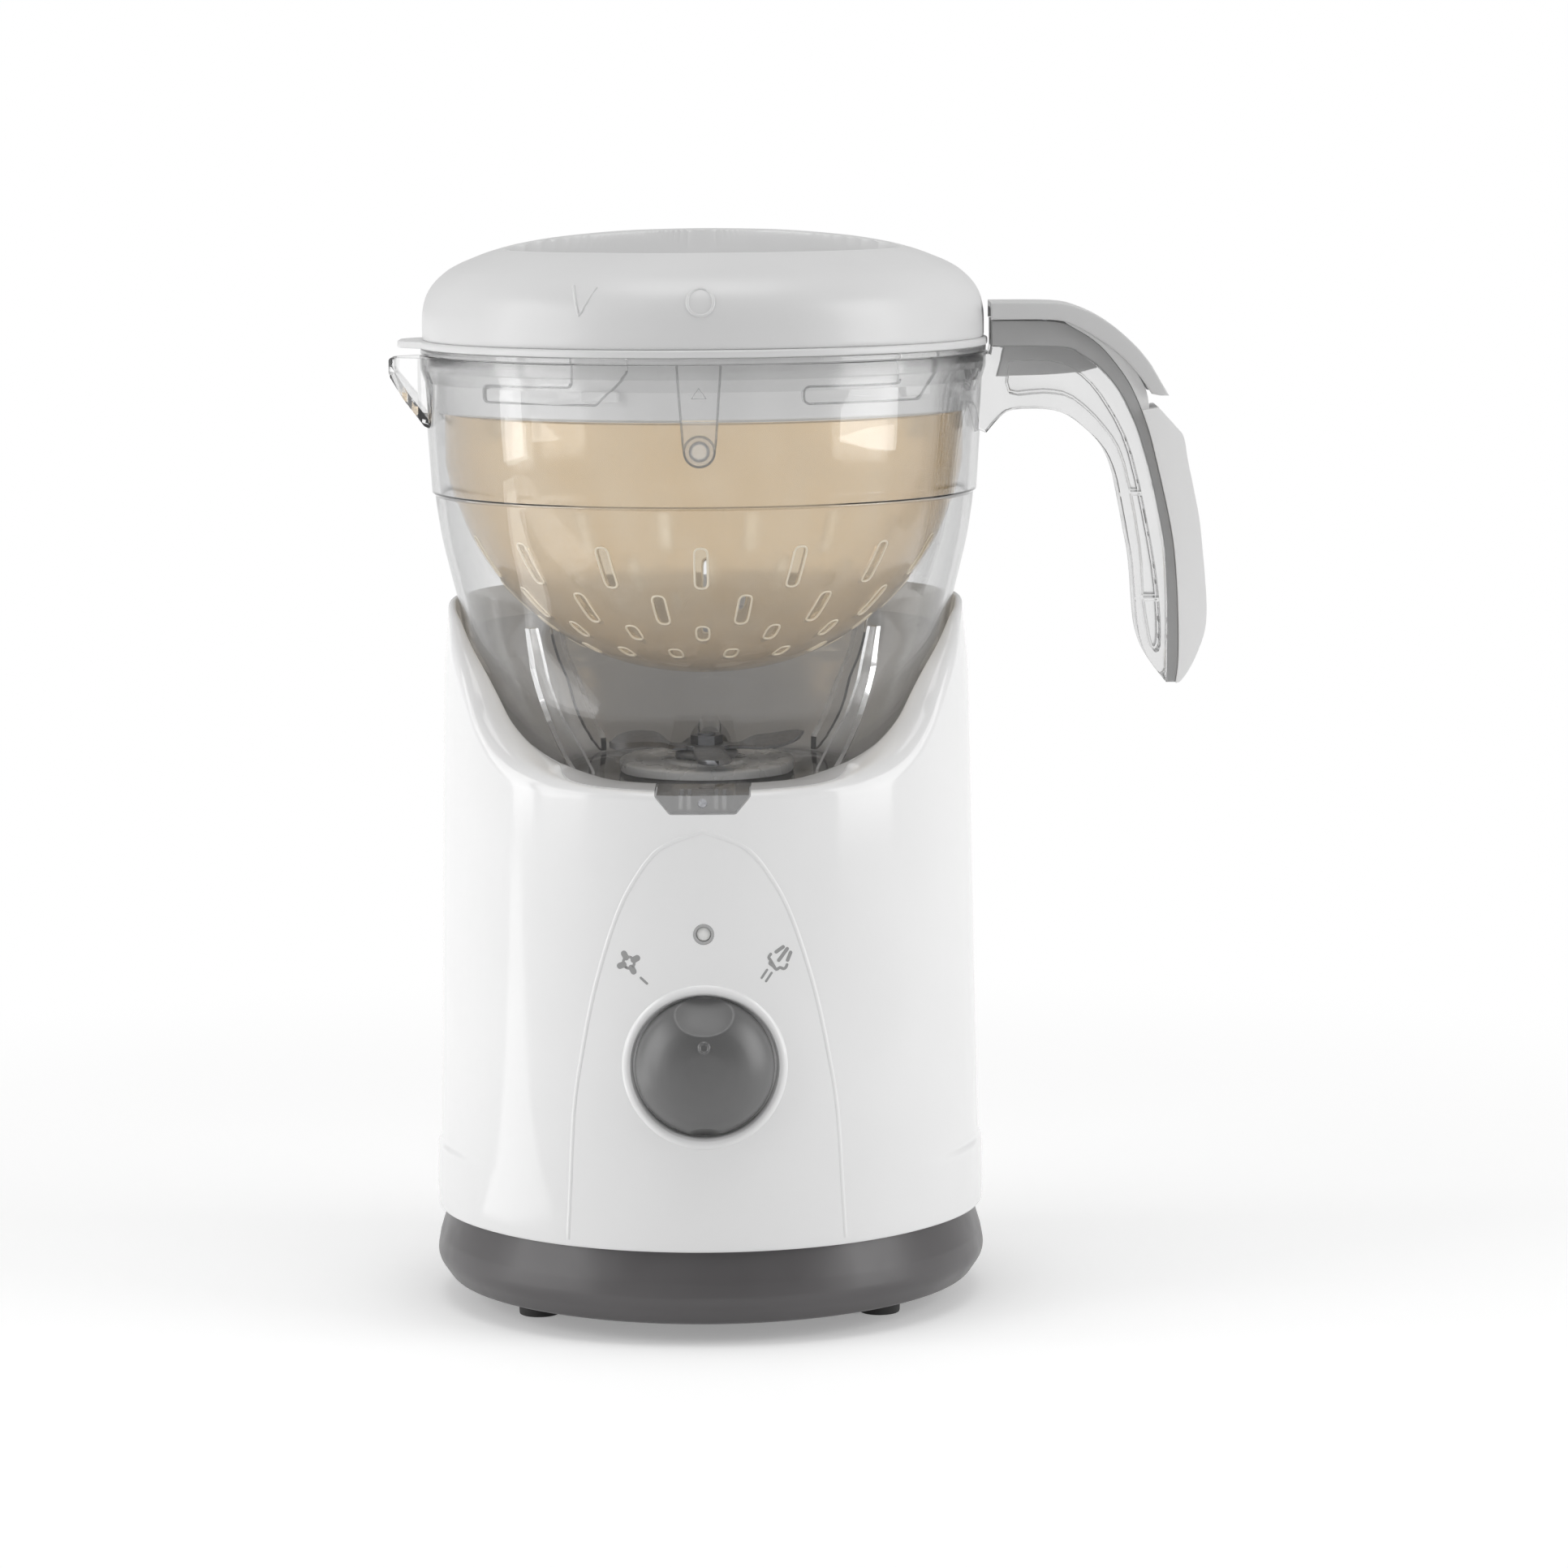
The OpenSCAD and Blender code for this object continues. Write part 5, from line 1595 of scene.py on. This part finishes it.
@dataclass
class Basket:
    """The steam basket: a thin bowl with four rings of slots, and the clear collar it hangs from."""

    centre: float = 252.4
    bowl_r: float = 74.4
    side_r: float = 73.2
    top: float = 253.4
    wall: float = 1.8
    rings: tuple = ((213.6, 11.5, 0, 3.6), (201.4, 8.6, 12, 3.6), (194.2, 4.4, 0, 3.6),
                    (187.6, 2.8, 12, 3.6))
    slots: int = 15
    stud_z: float = 246.0
    collar_r: float = 75.25
    channel_in: float = 72.5
    tongue_foot: float = 4.1
    tongue_half: float = 6.1
    edge_r: float = 75.9
    line_r: float = 0.3
    profile: tuple = ((74, 253.8), (75.8, 253.8), (75.8, 269.6), (79.8, 269.6), (79.8, 271.1), (74, 271.1))
    stud: tuple = ((0, 69.9), (3.6, 69.9, 0.4), (3.6, 71.1, 0.3), (1.9, 71.2), (1.9, 74.75), (2.7, 74.75),
                   (2.7, 75.1, 0.25), (0, 75.2))

    def bowl_line(self, inset: float) -> Outline:
        """Draws the bowl's line from the axis up to its side wall.

        Args:
            inset: How far it lies inside the bowl's outside.

        Returns:
            Pairs of radius and height.
        """
        r, side = self.bowl_r - inset, self.side_r - inset
        turns = np.linspace(0, math.asin(side / r), 64)
        return [(r * math.sin(a), self.centre - r * math.cos(a)) for a in turns]

    def slot_faces(self, steps: int) -> list[tuple[float, Outline]]:
        """Draws one slot of each ring, as width and height.

        Args:
            steps: Spans in each rounded corner.

        Returns:
            The angle of the ring's first slot and the slot's outline, for each ring.
        """
        faces = []
        for z, height, turn, width in self.rings:
            half, side = height / 2, width / 2
            tip = min(side, half) - 0.05
            faces.append((turn - 90.0, rounded(rect(-side, z - half, side, z + half, tip), 0.1, steps)))
        return faces

    def bowl(self) -> Piece:
        """Turns the bowl and cuts its slots and stud holes.

        Returns:
            The bowl.
        """
        inner = self.side_r - self.wall
        rim = [(self.side_r, self.top - 0.35), (self.side_r - 0.35, self.top), (inner + 0.35, self.top),
               (inner, self.top - 0.35)]
        line = [*self.bowl_line(0.0), *rim, *reversed(self.bowl_line(self.wall))]
        piece = turned("basket_bowl", line, 300, False)
        tools = [ring_of(plate("slot", face, 20, 80, "X"), self.slots, first, AMBER)
                 for first, face in self.slot_faces(5)]
        tools.append(ring_of(plate("hole", circle(2, self.stud_z, 32), 60, 80, "X"), 3, -90.0, AMBER))
        return combined(piece, Join.CUT, *tools)

    def slot_lit_rims(self) -> Piece:
        """Lays the thickened edge round every slot, on the bowl's outside, in a paler, milkier amber: painted
        light where the slots' cut walls catch it.

        Returns:
            All the edges.
        """
        rims = []
        for first, face in self.slot_faces(4):
            face = [p for a, b in zip(face, [*face[1:], face[0]])
                    for p in (a, ((a[0] + b[0]) / 2, (a[1] + b[1]) / 2))]
            line = [(math.sqrt(self.bowl_r ** 2 - (z - self.centre) ** 2 - y ** 2) - 0.1, y, z)
                    for y, z in face]
            rims.append(ring_of(bead("rim", line, 0.34, AMBER_LIT_RIM, True), self.slots, first, AMBER_LIT_RIM))
        return merged("basket_slot_lit_rims", rims)

    def tongue(self, top: float) -> Outline:
        """Draws a tongue that hangs from the collar, wider at its top and round at its foot.

        Args:
            top: How high it reaches.

        Returns:
            Pairs of width and height, from the foot up.
        """
        turns = np.linspace(math.pi, FULL_TURN, 25)
        foot = [(self.tongue_foot * math.cos(t), self.stud_z + self.tongue_foot * math.sin(t)) for t in turns]
        return [*foot, (self.tongue_half, top), (-self.tongue_half, top)]

    def channel_line(self) -> Outline:
        """Draws a bayonet channel: a mouth with one slanted side and a level run.

        Returns:
            Pairs of width and height.
        """
        corners = ((-6.2, 275), (-6.2, 263.4, 1.2), (-29.8, 263.4, 2.0), (-29.8, 258.4, 2.0),
                   (-0.5, 258.4, 1.4), (6.2, 266.8, 1.4), (6.2, 275))
        return rounded([(math.radians(az) * self.collar_r, *rest) for az, *rest in corners], 0.1, 5)

    def channels(self) -> Piece:
        """Makes the solid that cuts the bayonet channels.

        Returns:
            The solid.
        """
        shape = self.channel_line()
        line: Outline = []
        for a, b in zip(shape, [*shape[1:], shape[0]]):
            steps = max(1, int(abs(b[0] - a[0]) / 1.6))
            line += [(a[0] + (b[0] - a[0]) * k / steps, a[1] + (b[1] - a[1]) * k / steps)
                     for k in range(steps)]
        rings = [[from_side(r, x / self.collar_r, z) for x, z in line]
                 for r in (self.channel_in, self.collar_r)]
        return ring_of(prism("channel", *rings), BAYONETS, BAYONET_AT, CLEAR)

    def collar(self) -> Piece:
        """Turns the collar, adds its three tongues and cuts the bayonet channels.

        Returns:
            The collar.
        """
        piece = turned("basket_collar", rounded(self.profile, 0.3, 3), 300)
        for i, top in enumerate((262.0, 257.2, 257.2)):
            strip = plate("tongue", self.tongue(top), 60, 90, "X")
            combined(strip, Join.KEEP, turned("ring", rect(73.4, 235, 74.9, 272), 300))
            combined(piece, Join.ADD, moved(strip, turn=-90 + 120 * i))
        return combined(piece, Join.CUT, self.channels())

    def outlines(self) -> Piece:
        """Lays darker beads on the collar's crisp moulded edges, round each channel, down each tongue and
        round the front stud: painted shade for the dark lines that these edges show.

        Returns:
            All the edges.
        """
        parts = []
        channel = [(x / self.edge_r, z) for x, z in self.channel_line() if z < 269.0]
        for i in range(BAYONETS):
            turn = math.radians(BAYONET_AT + i * 360 / BAYONETS)
            parts.append([from_side(self.edge_r, turn + a, z) for a, z in channel])
        low = self.stud_z + 2
        tongues = ((269.0, 5.9, self.edge_r), (254.0, 4.6, 75.0), (254.0, 4.6, 75.0))
        for i, (top, half, side) in enumerate(tongues):
            turn = math.radians(-90 + 120 * i)
            line = [(-half, top), (-4.4, low), *self.tongue(0.0)[:-2], (4.4, low), (half, top)]
            parts.append([from_side(r, turn + a / r, z) for a, z, r in
                          ((a, z, side if z > 254 else 74.9) for a, z in smoothed(line, 2))])
        beads = [bead("edge", line, self.line_r, CLEAR_EDGE_SHADE) for line in parts]
        for size in (4.1, 2.5):
            ring = [(size * math.sin(a), size * math.cos(a)) for a in map(math.radians, range(0, 360, 12))]
            line = [(x, -math.sqrt(75.0 ** 2 - x * x), self.stud_z + z) for x, z in ring]
            beads.append(bead("edge", line, self.line_r, CLEAR_EDGE_SHADE, True))
        return merged("collar_edge_shade", beads)

    def build(self) -> None:
        """Builds and dresses the bowl, the collar, its mark and the rivets."""
        dress(self.bowl(), Body.BASKET, "amber_plastic", AMBER, "basket", crease=34.0)
        # The slots' rims are thickened edges in a paler amber, which paints the light that their cut walls
        # catch.
        dress(self.slot_lit_rims(), Body.BASKET, "amber_plastic", AMBER_LIT_RIM, crease=BEAD_CREASE)
        # Darker beads on the collar's edges: painted shade for their dark lines.
        dress(self.outlines(), Body.BASKET, "clear_plastic", CLEAR_EDGE_SHADE, crease=BEAD_CREASE)
        collar = self.collar()
        collar.name = "collar_ring"
        dress(collar, Body.BASKET, "clear_plastic", CLEAR_COLLAR, "basket_collar", crease=30.0)
        triangle = [(x, -75.78, z) for x, z in ((-1.9, 260.3), (0.0, 263.4), (1.9, 260.3))]
        dress(bead("collar_mark", triangle, 0.22, CLEAR, True), Body.BASKET, "clear_plastic", CLEAR_COLLAR,
              crease=BEAD_CREASE)
        stud = turned("stud", rounded(self.stud, 0.1, 3, False), 48, False)
        studs = ring_of(moved(stud, z=self.stud_z, turn=90.0, axis="Y"), 3, -90.0, CLEAR_COLLAR)
        studs.name = "collar_rivets"
        dress(studs, Body.BASKET, "clear_plastic", CLEAR_COLLAR, "basket_studs")


# ---------------------------------------------------------------- the lid


@dataclass
class Lid:
    """The white lid: a dome with two finger pockets over a flange, skirt and bayonet lugs."""

    dome_z: float = 273.4
    pocket_r: float = 57.0
    pocket_z: float = 290.0
    pocket_dish: float = 1.2
    pocket_run: float = 4.2
    pocket_lead: float = 0.12
    bar_half: float = 9.0
    bar_run: float = 3.4
    bar_lead: float = 0.9
    wall: float = 2.2
    dome: tuple = ((0, 304), (20, 303.5), (40, 301.9), (52, 300.0), (60, 297.9), (67.6, 295.0))
    side: tuple = ((67.6, 295.0), (71.4, 293.0), (74.6, 290.4), (76.8, 287.8), (78.2, 285), (79.0, 281.6),
                   (79.2, 278.5), (79.2, 274.2))
    profile: tuple = ((71.2, 254.5, 0.3), (72.9, 254.5, 0.4), (72.9, 271.3), (80.2, 271.3, 0.5),
                      (80.2, 273.2, 0.6), (79.0, 273.4), (70, 273.4, 0.3), (70, 271.5, 0.3), (71.2, 271.3))
    tongue: tuple = ((-73, -21), (-84, -11), (-86, -6), (-86, 6), (-84, 11), (-73, 21))
    vee: tuple = ((-3.4, 290.3), (-2.2, 288.2), (-1.1, 285.8), (-0.2, 283.3), (0.2, 282.6), (0.9, 283.6),
                  (2.2, 286.4), (3.7, 289.9))

    def cap(self, turns: np.ndarray, radii: np.ndarray, inset: float, dish: float) -> np.ndarray:
        """Draws the lid's top or, with an inset, the underside below it; two pockets lie beside the grip bar.

        Args:
            turns: Angle of each column.
            radii: Radius of each row.
            inset: How far it lies inside the lid's top.
            dish: How far a pocket's floor rises towards its outer edge.

        Returns:
            Array of columns by rows by three.
        """
        x, y = np.outer(np.cos(turns), radii), np.outer(np.sin(turns), radii)
        rho = np.hypot(x, y)
        dome = along(rho, self.dome) - inset
        reach = ease((self.pocket_r + inset - rho) / self.pocket_run + self.pocket_lead)
        beside = ease((np.abs(y) - self.bar_half + self.bar_lead + inset) / self.bar_run)
        floor = self.pocket_z - inset + dish * (rho / self.pocket_r) ** 2
        return np.stack([x, y, dome + (floor - dome) * reach * beside], axis=2)

    def shell(self) -> Piece:
        """Builds the dome as one shell, open underneath.

        Returns:
            The shell.
        """
        turns = np.linspace(0, FULL_TURN, 360, endpoint=False)
        radii = np.concatenate([[0.0], np.linspace(0.8, 50, 52), np.linspace(50.6, 58.4, 20),
                                np.linspace(59.5, 67.6, 8)])
        side = [*smoothed(self.side, 4)[1:], (79.0, 273.6), (78.7, self.dome_z), (77.2, self.dome_z),
                (77.0, 274.0), (77.0, 280.0), (76.4, 283.6), (74.8, 286.6), (72.2, 289.4), (68.6, 291.7)]
        sides = np.stack([np.stack([r * np.cos(turns), r * np.sin(turns), np.full(360, h)], axis=1)
                          for r, h in side], axis=1)
        under = radii[::-1][::2]
        top = self.cap(turns, radii, 0.0, self.pocket_dish)
        below = self.cap(turns, under[under < 66], self.wall, 0.0)
        return grid("lid_cap", np.concatenate([top, sides, below], axis=1), True, False)

    def mark(self, name: str, az: float, line: Sequence[Point], closed: bool) -> Piece:
        """Lays a raised line on the dome's side.

        Args:
            name: Its name.
            az: Angle from the front of the line's middle, in degrees.
            line: Pairs of distance across and height.
            closed: True if the line's end joins its start.

        Returns:
            The raised line.
        """
        rows = sorted((h, r) for r, h in self.side)
        points = []
        for across, z in line:
            r = float(along(z, rows)) - 0.12
            points.append(from_front(r, math.radians(az) + across / r, z))
        return bead(name, points, 0.46, LID_PP, closed)

    def ring(self) -> Piece:
        """Builds the flange with its tongue over the spout, the skirt inside the collar and the lugs.

        Returns:
            The ring below the dome.
        """
        piece = turned("lid_ring", rounded(self.profile, 0.2, 3), 300)
        tongue = plate("tongue", rounded(self.tongue, 2.5), 271.35, 273.3, "Z", bevel=0.45)
        combined(tongue, Join.KEEP, turned("limit", rect(75.5, 265, 95, 280), 200))
        lug = plate("lug", rounded(rect(-5.2, 259.3, 5.2, 262.6, 0.8), 0.5), 72.2, 74.95, "X", bevel=0.35)
        return combined(piece, Join.ADD, tongue, ring_of(lug, BAYONETS, BAYONET_AT, LID_PP))

    def build(self) -> None:
        """Builds and dresses the cap, its two closing marks and the ring below it."""
        dress(self.shell(), Body.LID, "lid_white", LID_PP, "lid_dome", crease=40.0)
        marks = [self.mark("vee", -24.2, self.vee, False),
                 self.mark("ring", 0.5, circle(3.55, 286.1, 40), True)]
        dress(merged("lid_marks", marks), Body.LID, "lid_white", LID_PP, crease=BEAD_CREASE)
        ring = self.ring()
        ring.name = "lid_ring"
        dress(ring, Body.LID, "lid_white", LID_PP, "lid_skirt", crease=34.0)


# ---------------------------------------------------------------- the studio and the camera


@dataclass(frozen=True)
class FloorPaper(Finish):
    """Matt paper: it keeps the shadow near the machine, and is white to the camera beyond."""

    name: str = "matt_paper_white"
    near: float = 0.2
    far: float = 0.56
    glow: float = 0.27
    fibres: float = 900.0

    def build(self, tree: Tree) -> None:
        """Adds the paper's fibres, and the light that only the camera, gloss and clear plastic see.

        Args:
            tree: The material's tree.
        """
        place = add_node(tree, "ShaderNodeTexCoord").outputs["Object"]
        away = add_node(tree, "ShaderNodeVectorMath", {0: place}, operation="LENGTH").outputs["Value"]
        ends = {"From Min": self.near, "From Max": self.far}
        spread = add_node(tree, "ShaderNodeMapRange", {"Value": away, **ends},
                          interpolation_type="SMOOTHSTEP").outputs["Result"]
        seen = ray_is(tree, "Is Camera Ray", "Is Glossy Ray", "Is Transmission Ray")
        fibre = add_node(tree, "ShaderNodeTexNoise", {"Vector": place, "Scale": self.fibres, "Detail": 2.0})
        tone = add_node(tree, "ShaderNodeMix", {0: fibre.outputs[0], 6: linear("#f1f1f1"),
                                                7: linear("#ededed")}, data_type="RGBA")
        matt = add_node(tree, "ShaderNodeBsdfDiffuse", {"Color": tone.outputs[2]}).outputs[0]
        glow, white = (add_node(tree, "ShaderNodeEmission", {"Color": (1, 1, 1, 1),
                                                             "Strength": power}).outputs[0]
                       for power in (self.glow, 1.0))
        near = add_node(tree, "ShaderNodeAddShader", {0: matt, 1: glow}).outputs[0]
        far = add_node(tree, "ShaderNodeMixShader", {0: spread, 1: near, 2: white}).outputs[0]
        both = add_node(tree, "ShaderNodeMixShader", {0: seen, 1: matt, 2: far}).outputs[0]
        add_node(tree, "ShaderNodeOutputMaterial", {"Surface": both})


@dataclass
class Studio:
    """A pale floor, soft lamps from both sides and above, and the camera; lamps and camera are in metres."""

    floor_half: float = 15000.0
    ambient: float = 0.54
    front_dim: float = 0.45
    lens_px: float = 6447.0
    frame_px: float = 1932.0
    sensor: float = 36.0
    pitch: float = 7.411
    roll: float = -0.394
    swing: float = 1.0
    yaw: float = -0.849
    height: float = 0.3387
    distance: float = 1.482
    lamps: tuple = (("left_strip", (-1.19, -0.15, 0.56), (0.0, -0.05, 0.4), (0.26, 1.1), 2.6),
                    ("floor_strip", (-0.66, -0.06, 0.004), (-0.66, -0.06, 1.0), (0.95, 0.12), 0.5),
                    ("left_box", (-1.15, -0.62, 0.5), (0.0, 0.0, 0.16), (0.55, 1.0), 4.2),
                    ("right_box", (1.2, -0.4, 0.5), (0.0, 0.0, 0.16), (0.7, 1.1), 7.0),
                    ("top_box", (0.0, -0.25, 1.5), (0.0, 0.0, 0.16), (0.9, 0.7), 4.3))

    def floor(self) -> None:
        """Lays the floor."""
        half = self.floor_half
        corners = [(x, y, 0) for x, y in rect(-half, -half, half, half)]
        floor = drawn("studio_floor", corners, [], [(0, 1, 2, 3)])
        floor.data.materials.append(FloorPaper().material())

    def world(self) -> None:
        """Fills the surroundings: white to the camera and through clear plastic; dimmer as light."""
        world = bpy.data.worlds.new("studio")
        bpy.context.scene.world = world
        world.use_nodes = True
        tree = world.node_tree
        tree.nodes.clear()
        seen = ray_is(tree, "Is Camera Ray", "Is Transmission Ray")
        place = add_node(tree, "ShaderNodeTexCoord").outputs["Generated"]
        side = add_node(tree, "ShaderNodeSeparateXYZ", {0: place}).outputs["Y"]
        dim = add_node(tree, "ShaderNodeMapRange", {
            "Value": side, "From Min": -0.8, "From Max": 0.2, "To Min": self.ambient * self.front_dim,
            "To Max": self.ambient}).outputs["Result"]
        level = add_node(tree, "ShaderNodeMapRange", {"Value": seen, "To Min": dim,
                                                      "To Max": 1.0}).outputs["Result"]
        back = add_node(tree, "ShaderNodeBackground", {"Color": (1, 1, 1, 1), "Strength": level}).outputs[0]
        add_node(tree, "ShaderNodeOutputWorld", {"Surface": back})

    def stand(self, thing: Piece, *axes_and_place: np.ndarray) -> None:
        """Places a lamp or the camera, by where its right, its up and its back point and where it is."""
        rows = np.stack(axes_and_place, axis=1).tolist()
        thing.matrix_world = Matrix([*rows, [0.0, 0.0, 0.0, 1.0]])

    def lamp(self, name: str, place: Point, aim: Point, size: tuple[float, float], power: float) -> None:
        """Hangs a soft box.

        Args:
            name: Its name.
            place: Where it hangs.
            aim: The point it faces.
            size: Its width and height.
            power: Its power in watts.
        """
        light = bpy.data.lights.new(name, "AREA")
        light.shape, light.size, light.size_y, light.energy = "RECTANGLE", size[0], size[1], power
        lamp = linked(name, light)
        lamp.visible_camera = False
        there, target = np.array(place), np.array(aim)
        back = (there - target) / np.linalg.norm(there - target)
        upright = abs(back[2]) < 0.95
        right = np.cross(np.array([0.0, 0.0, 1.0] if upright else [0.0, 1.0, 0.0]), back)
        right /= np.linalg.norm(right)
        self.stand(lamp, right, np.cross(back, right), back, there)

    def camera(self) -> None:
        """Places the camera, with a long lens just above the lid's height."""
        pitch, roll, yaw, swing = map(math.radians, (self.pitch, self.roll, self.yaw, self.swing))
        there = np.array([self.distance * math.sin(swing), -self.distance * math.cos(swing), self.height])
        ahead = np.array([-math.sin(swing) * math.cos(pitch), math.cos(swing) * math.cos(pitch),
                          -math.sin(pitch)])
        right = np.array([math.cos(swing), math.sin(swing), 0.0])
        spin = np.array([[math.cos(yaw), -math.sin(yaw), 0], [math.sin(yaw), math.cos(yaw), 0], [0, 0, 1]])
        ahead, right = spin @ ahead, spin @ right
        up = np.cross(right, ahead)
        lens = bpy.data.cameras.new("camera")
        lens.sensor_fit, lens.sensor_width = "HORIZONTAL", self.sensor
        lens.lens = self.sensor * self.lens_px / self.frame_px
        lens.clip_start, lens.clip_end = 0.05, 60.0
        camera = linked("camera", lens)
        self.stand(camera, right * math.cos(roll) + up * math.sin(roll),
                   up * math.cos(roll) - right * math.sin(roll), -ahead, there)
        bpy.context.scene.camera = camera

    def build(self) -> None:
        """Sets up the camera, the floor, the surroundings and the lamps."""
        bpy.context.scene.view_settings.view_transform = "Standard"
        self.camera()
        self.floor()
        self.world()
        for lamp in self.lamps:
            self.lamp(*lamp)


def dress_inner_nodes() -> None:
    """Gives every CAD node that still shows the finish of its material slot."""
    slots = {part["node"]: part["material_slot"] for part in frame["record"]["subparts"]}
    for name, node in frame["nodes"].items():
        if node.hide_render:
            continue
        finish = NODE_FINISH.get(name, SLOT_FINISH[slots[name]])
        if not node.material_slots:
            node.data.materials.append(finish.material())
        for held in node.material_slots:
            held.material = finish.material()
        LOG.info("%s: CAD mesh in %s", name, finish.name)


def main() -> None:
    """Builds the whole model in order."""
    Studio().build()
    casing, handle = Casing(), Handle()
    for part in (casing, Seat(casing), BaseDish(), Controls(), handle, Jug(handle), BladeSet(), Basket(),
                 Lid()):
        part.build()
    dress_inner_nodes()


if __name__ == "__main__":
    main()
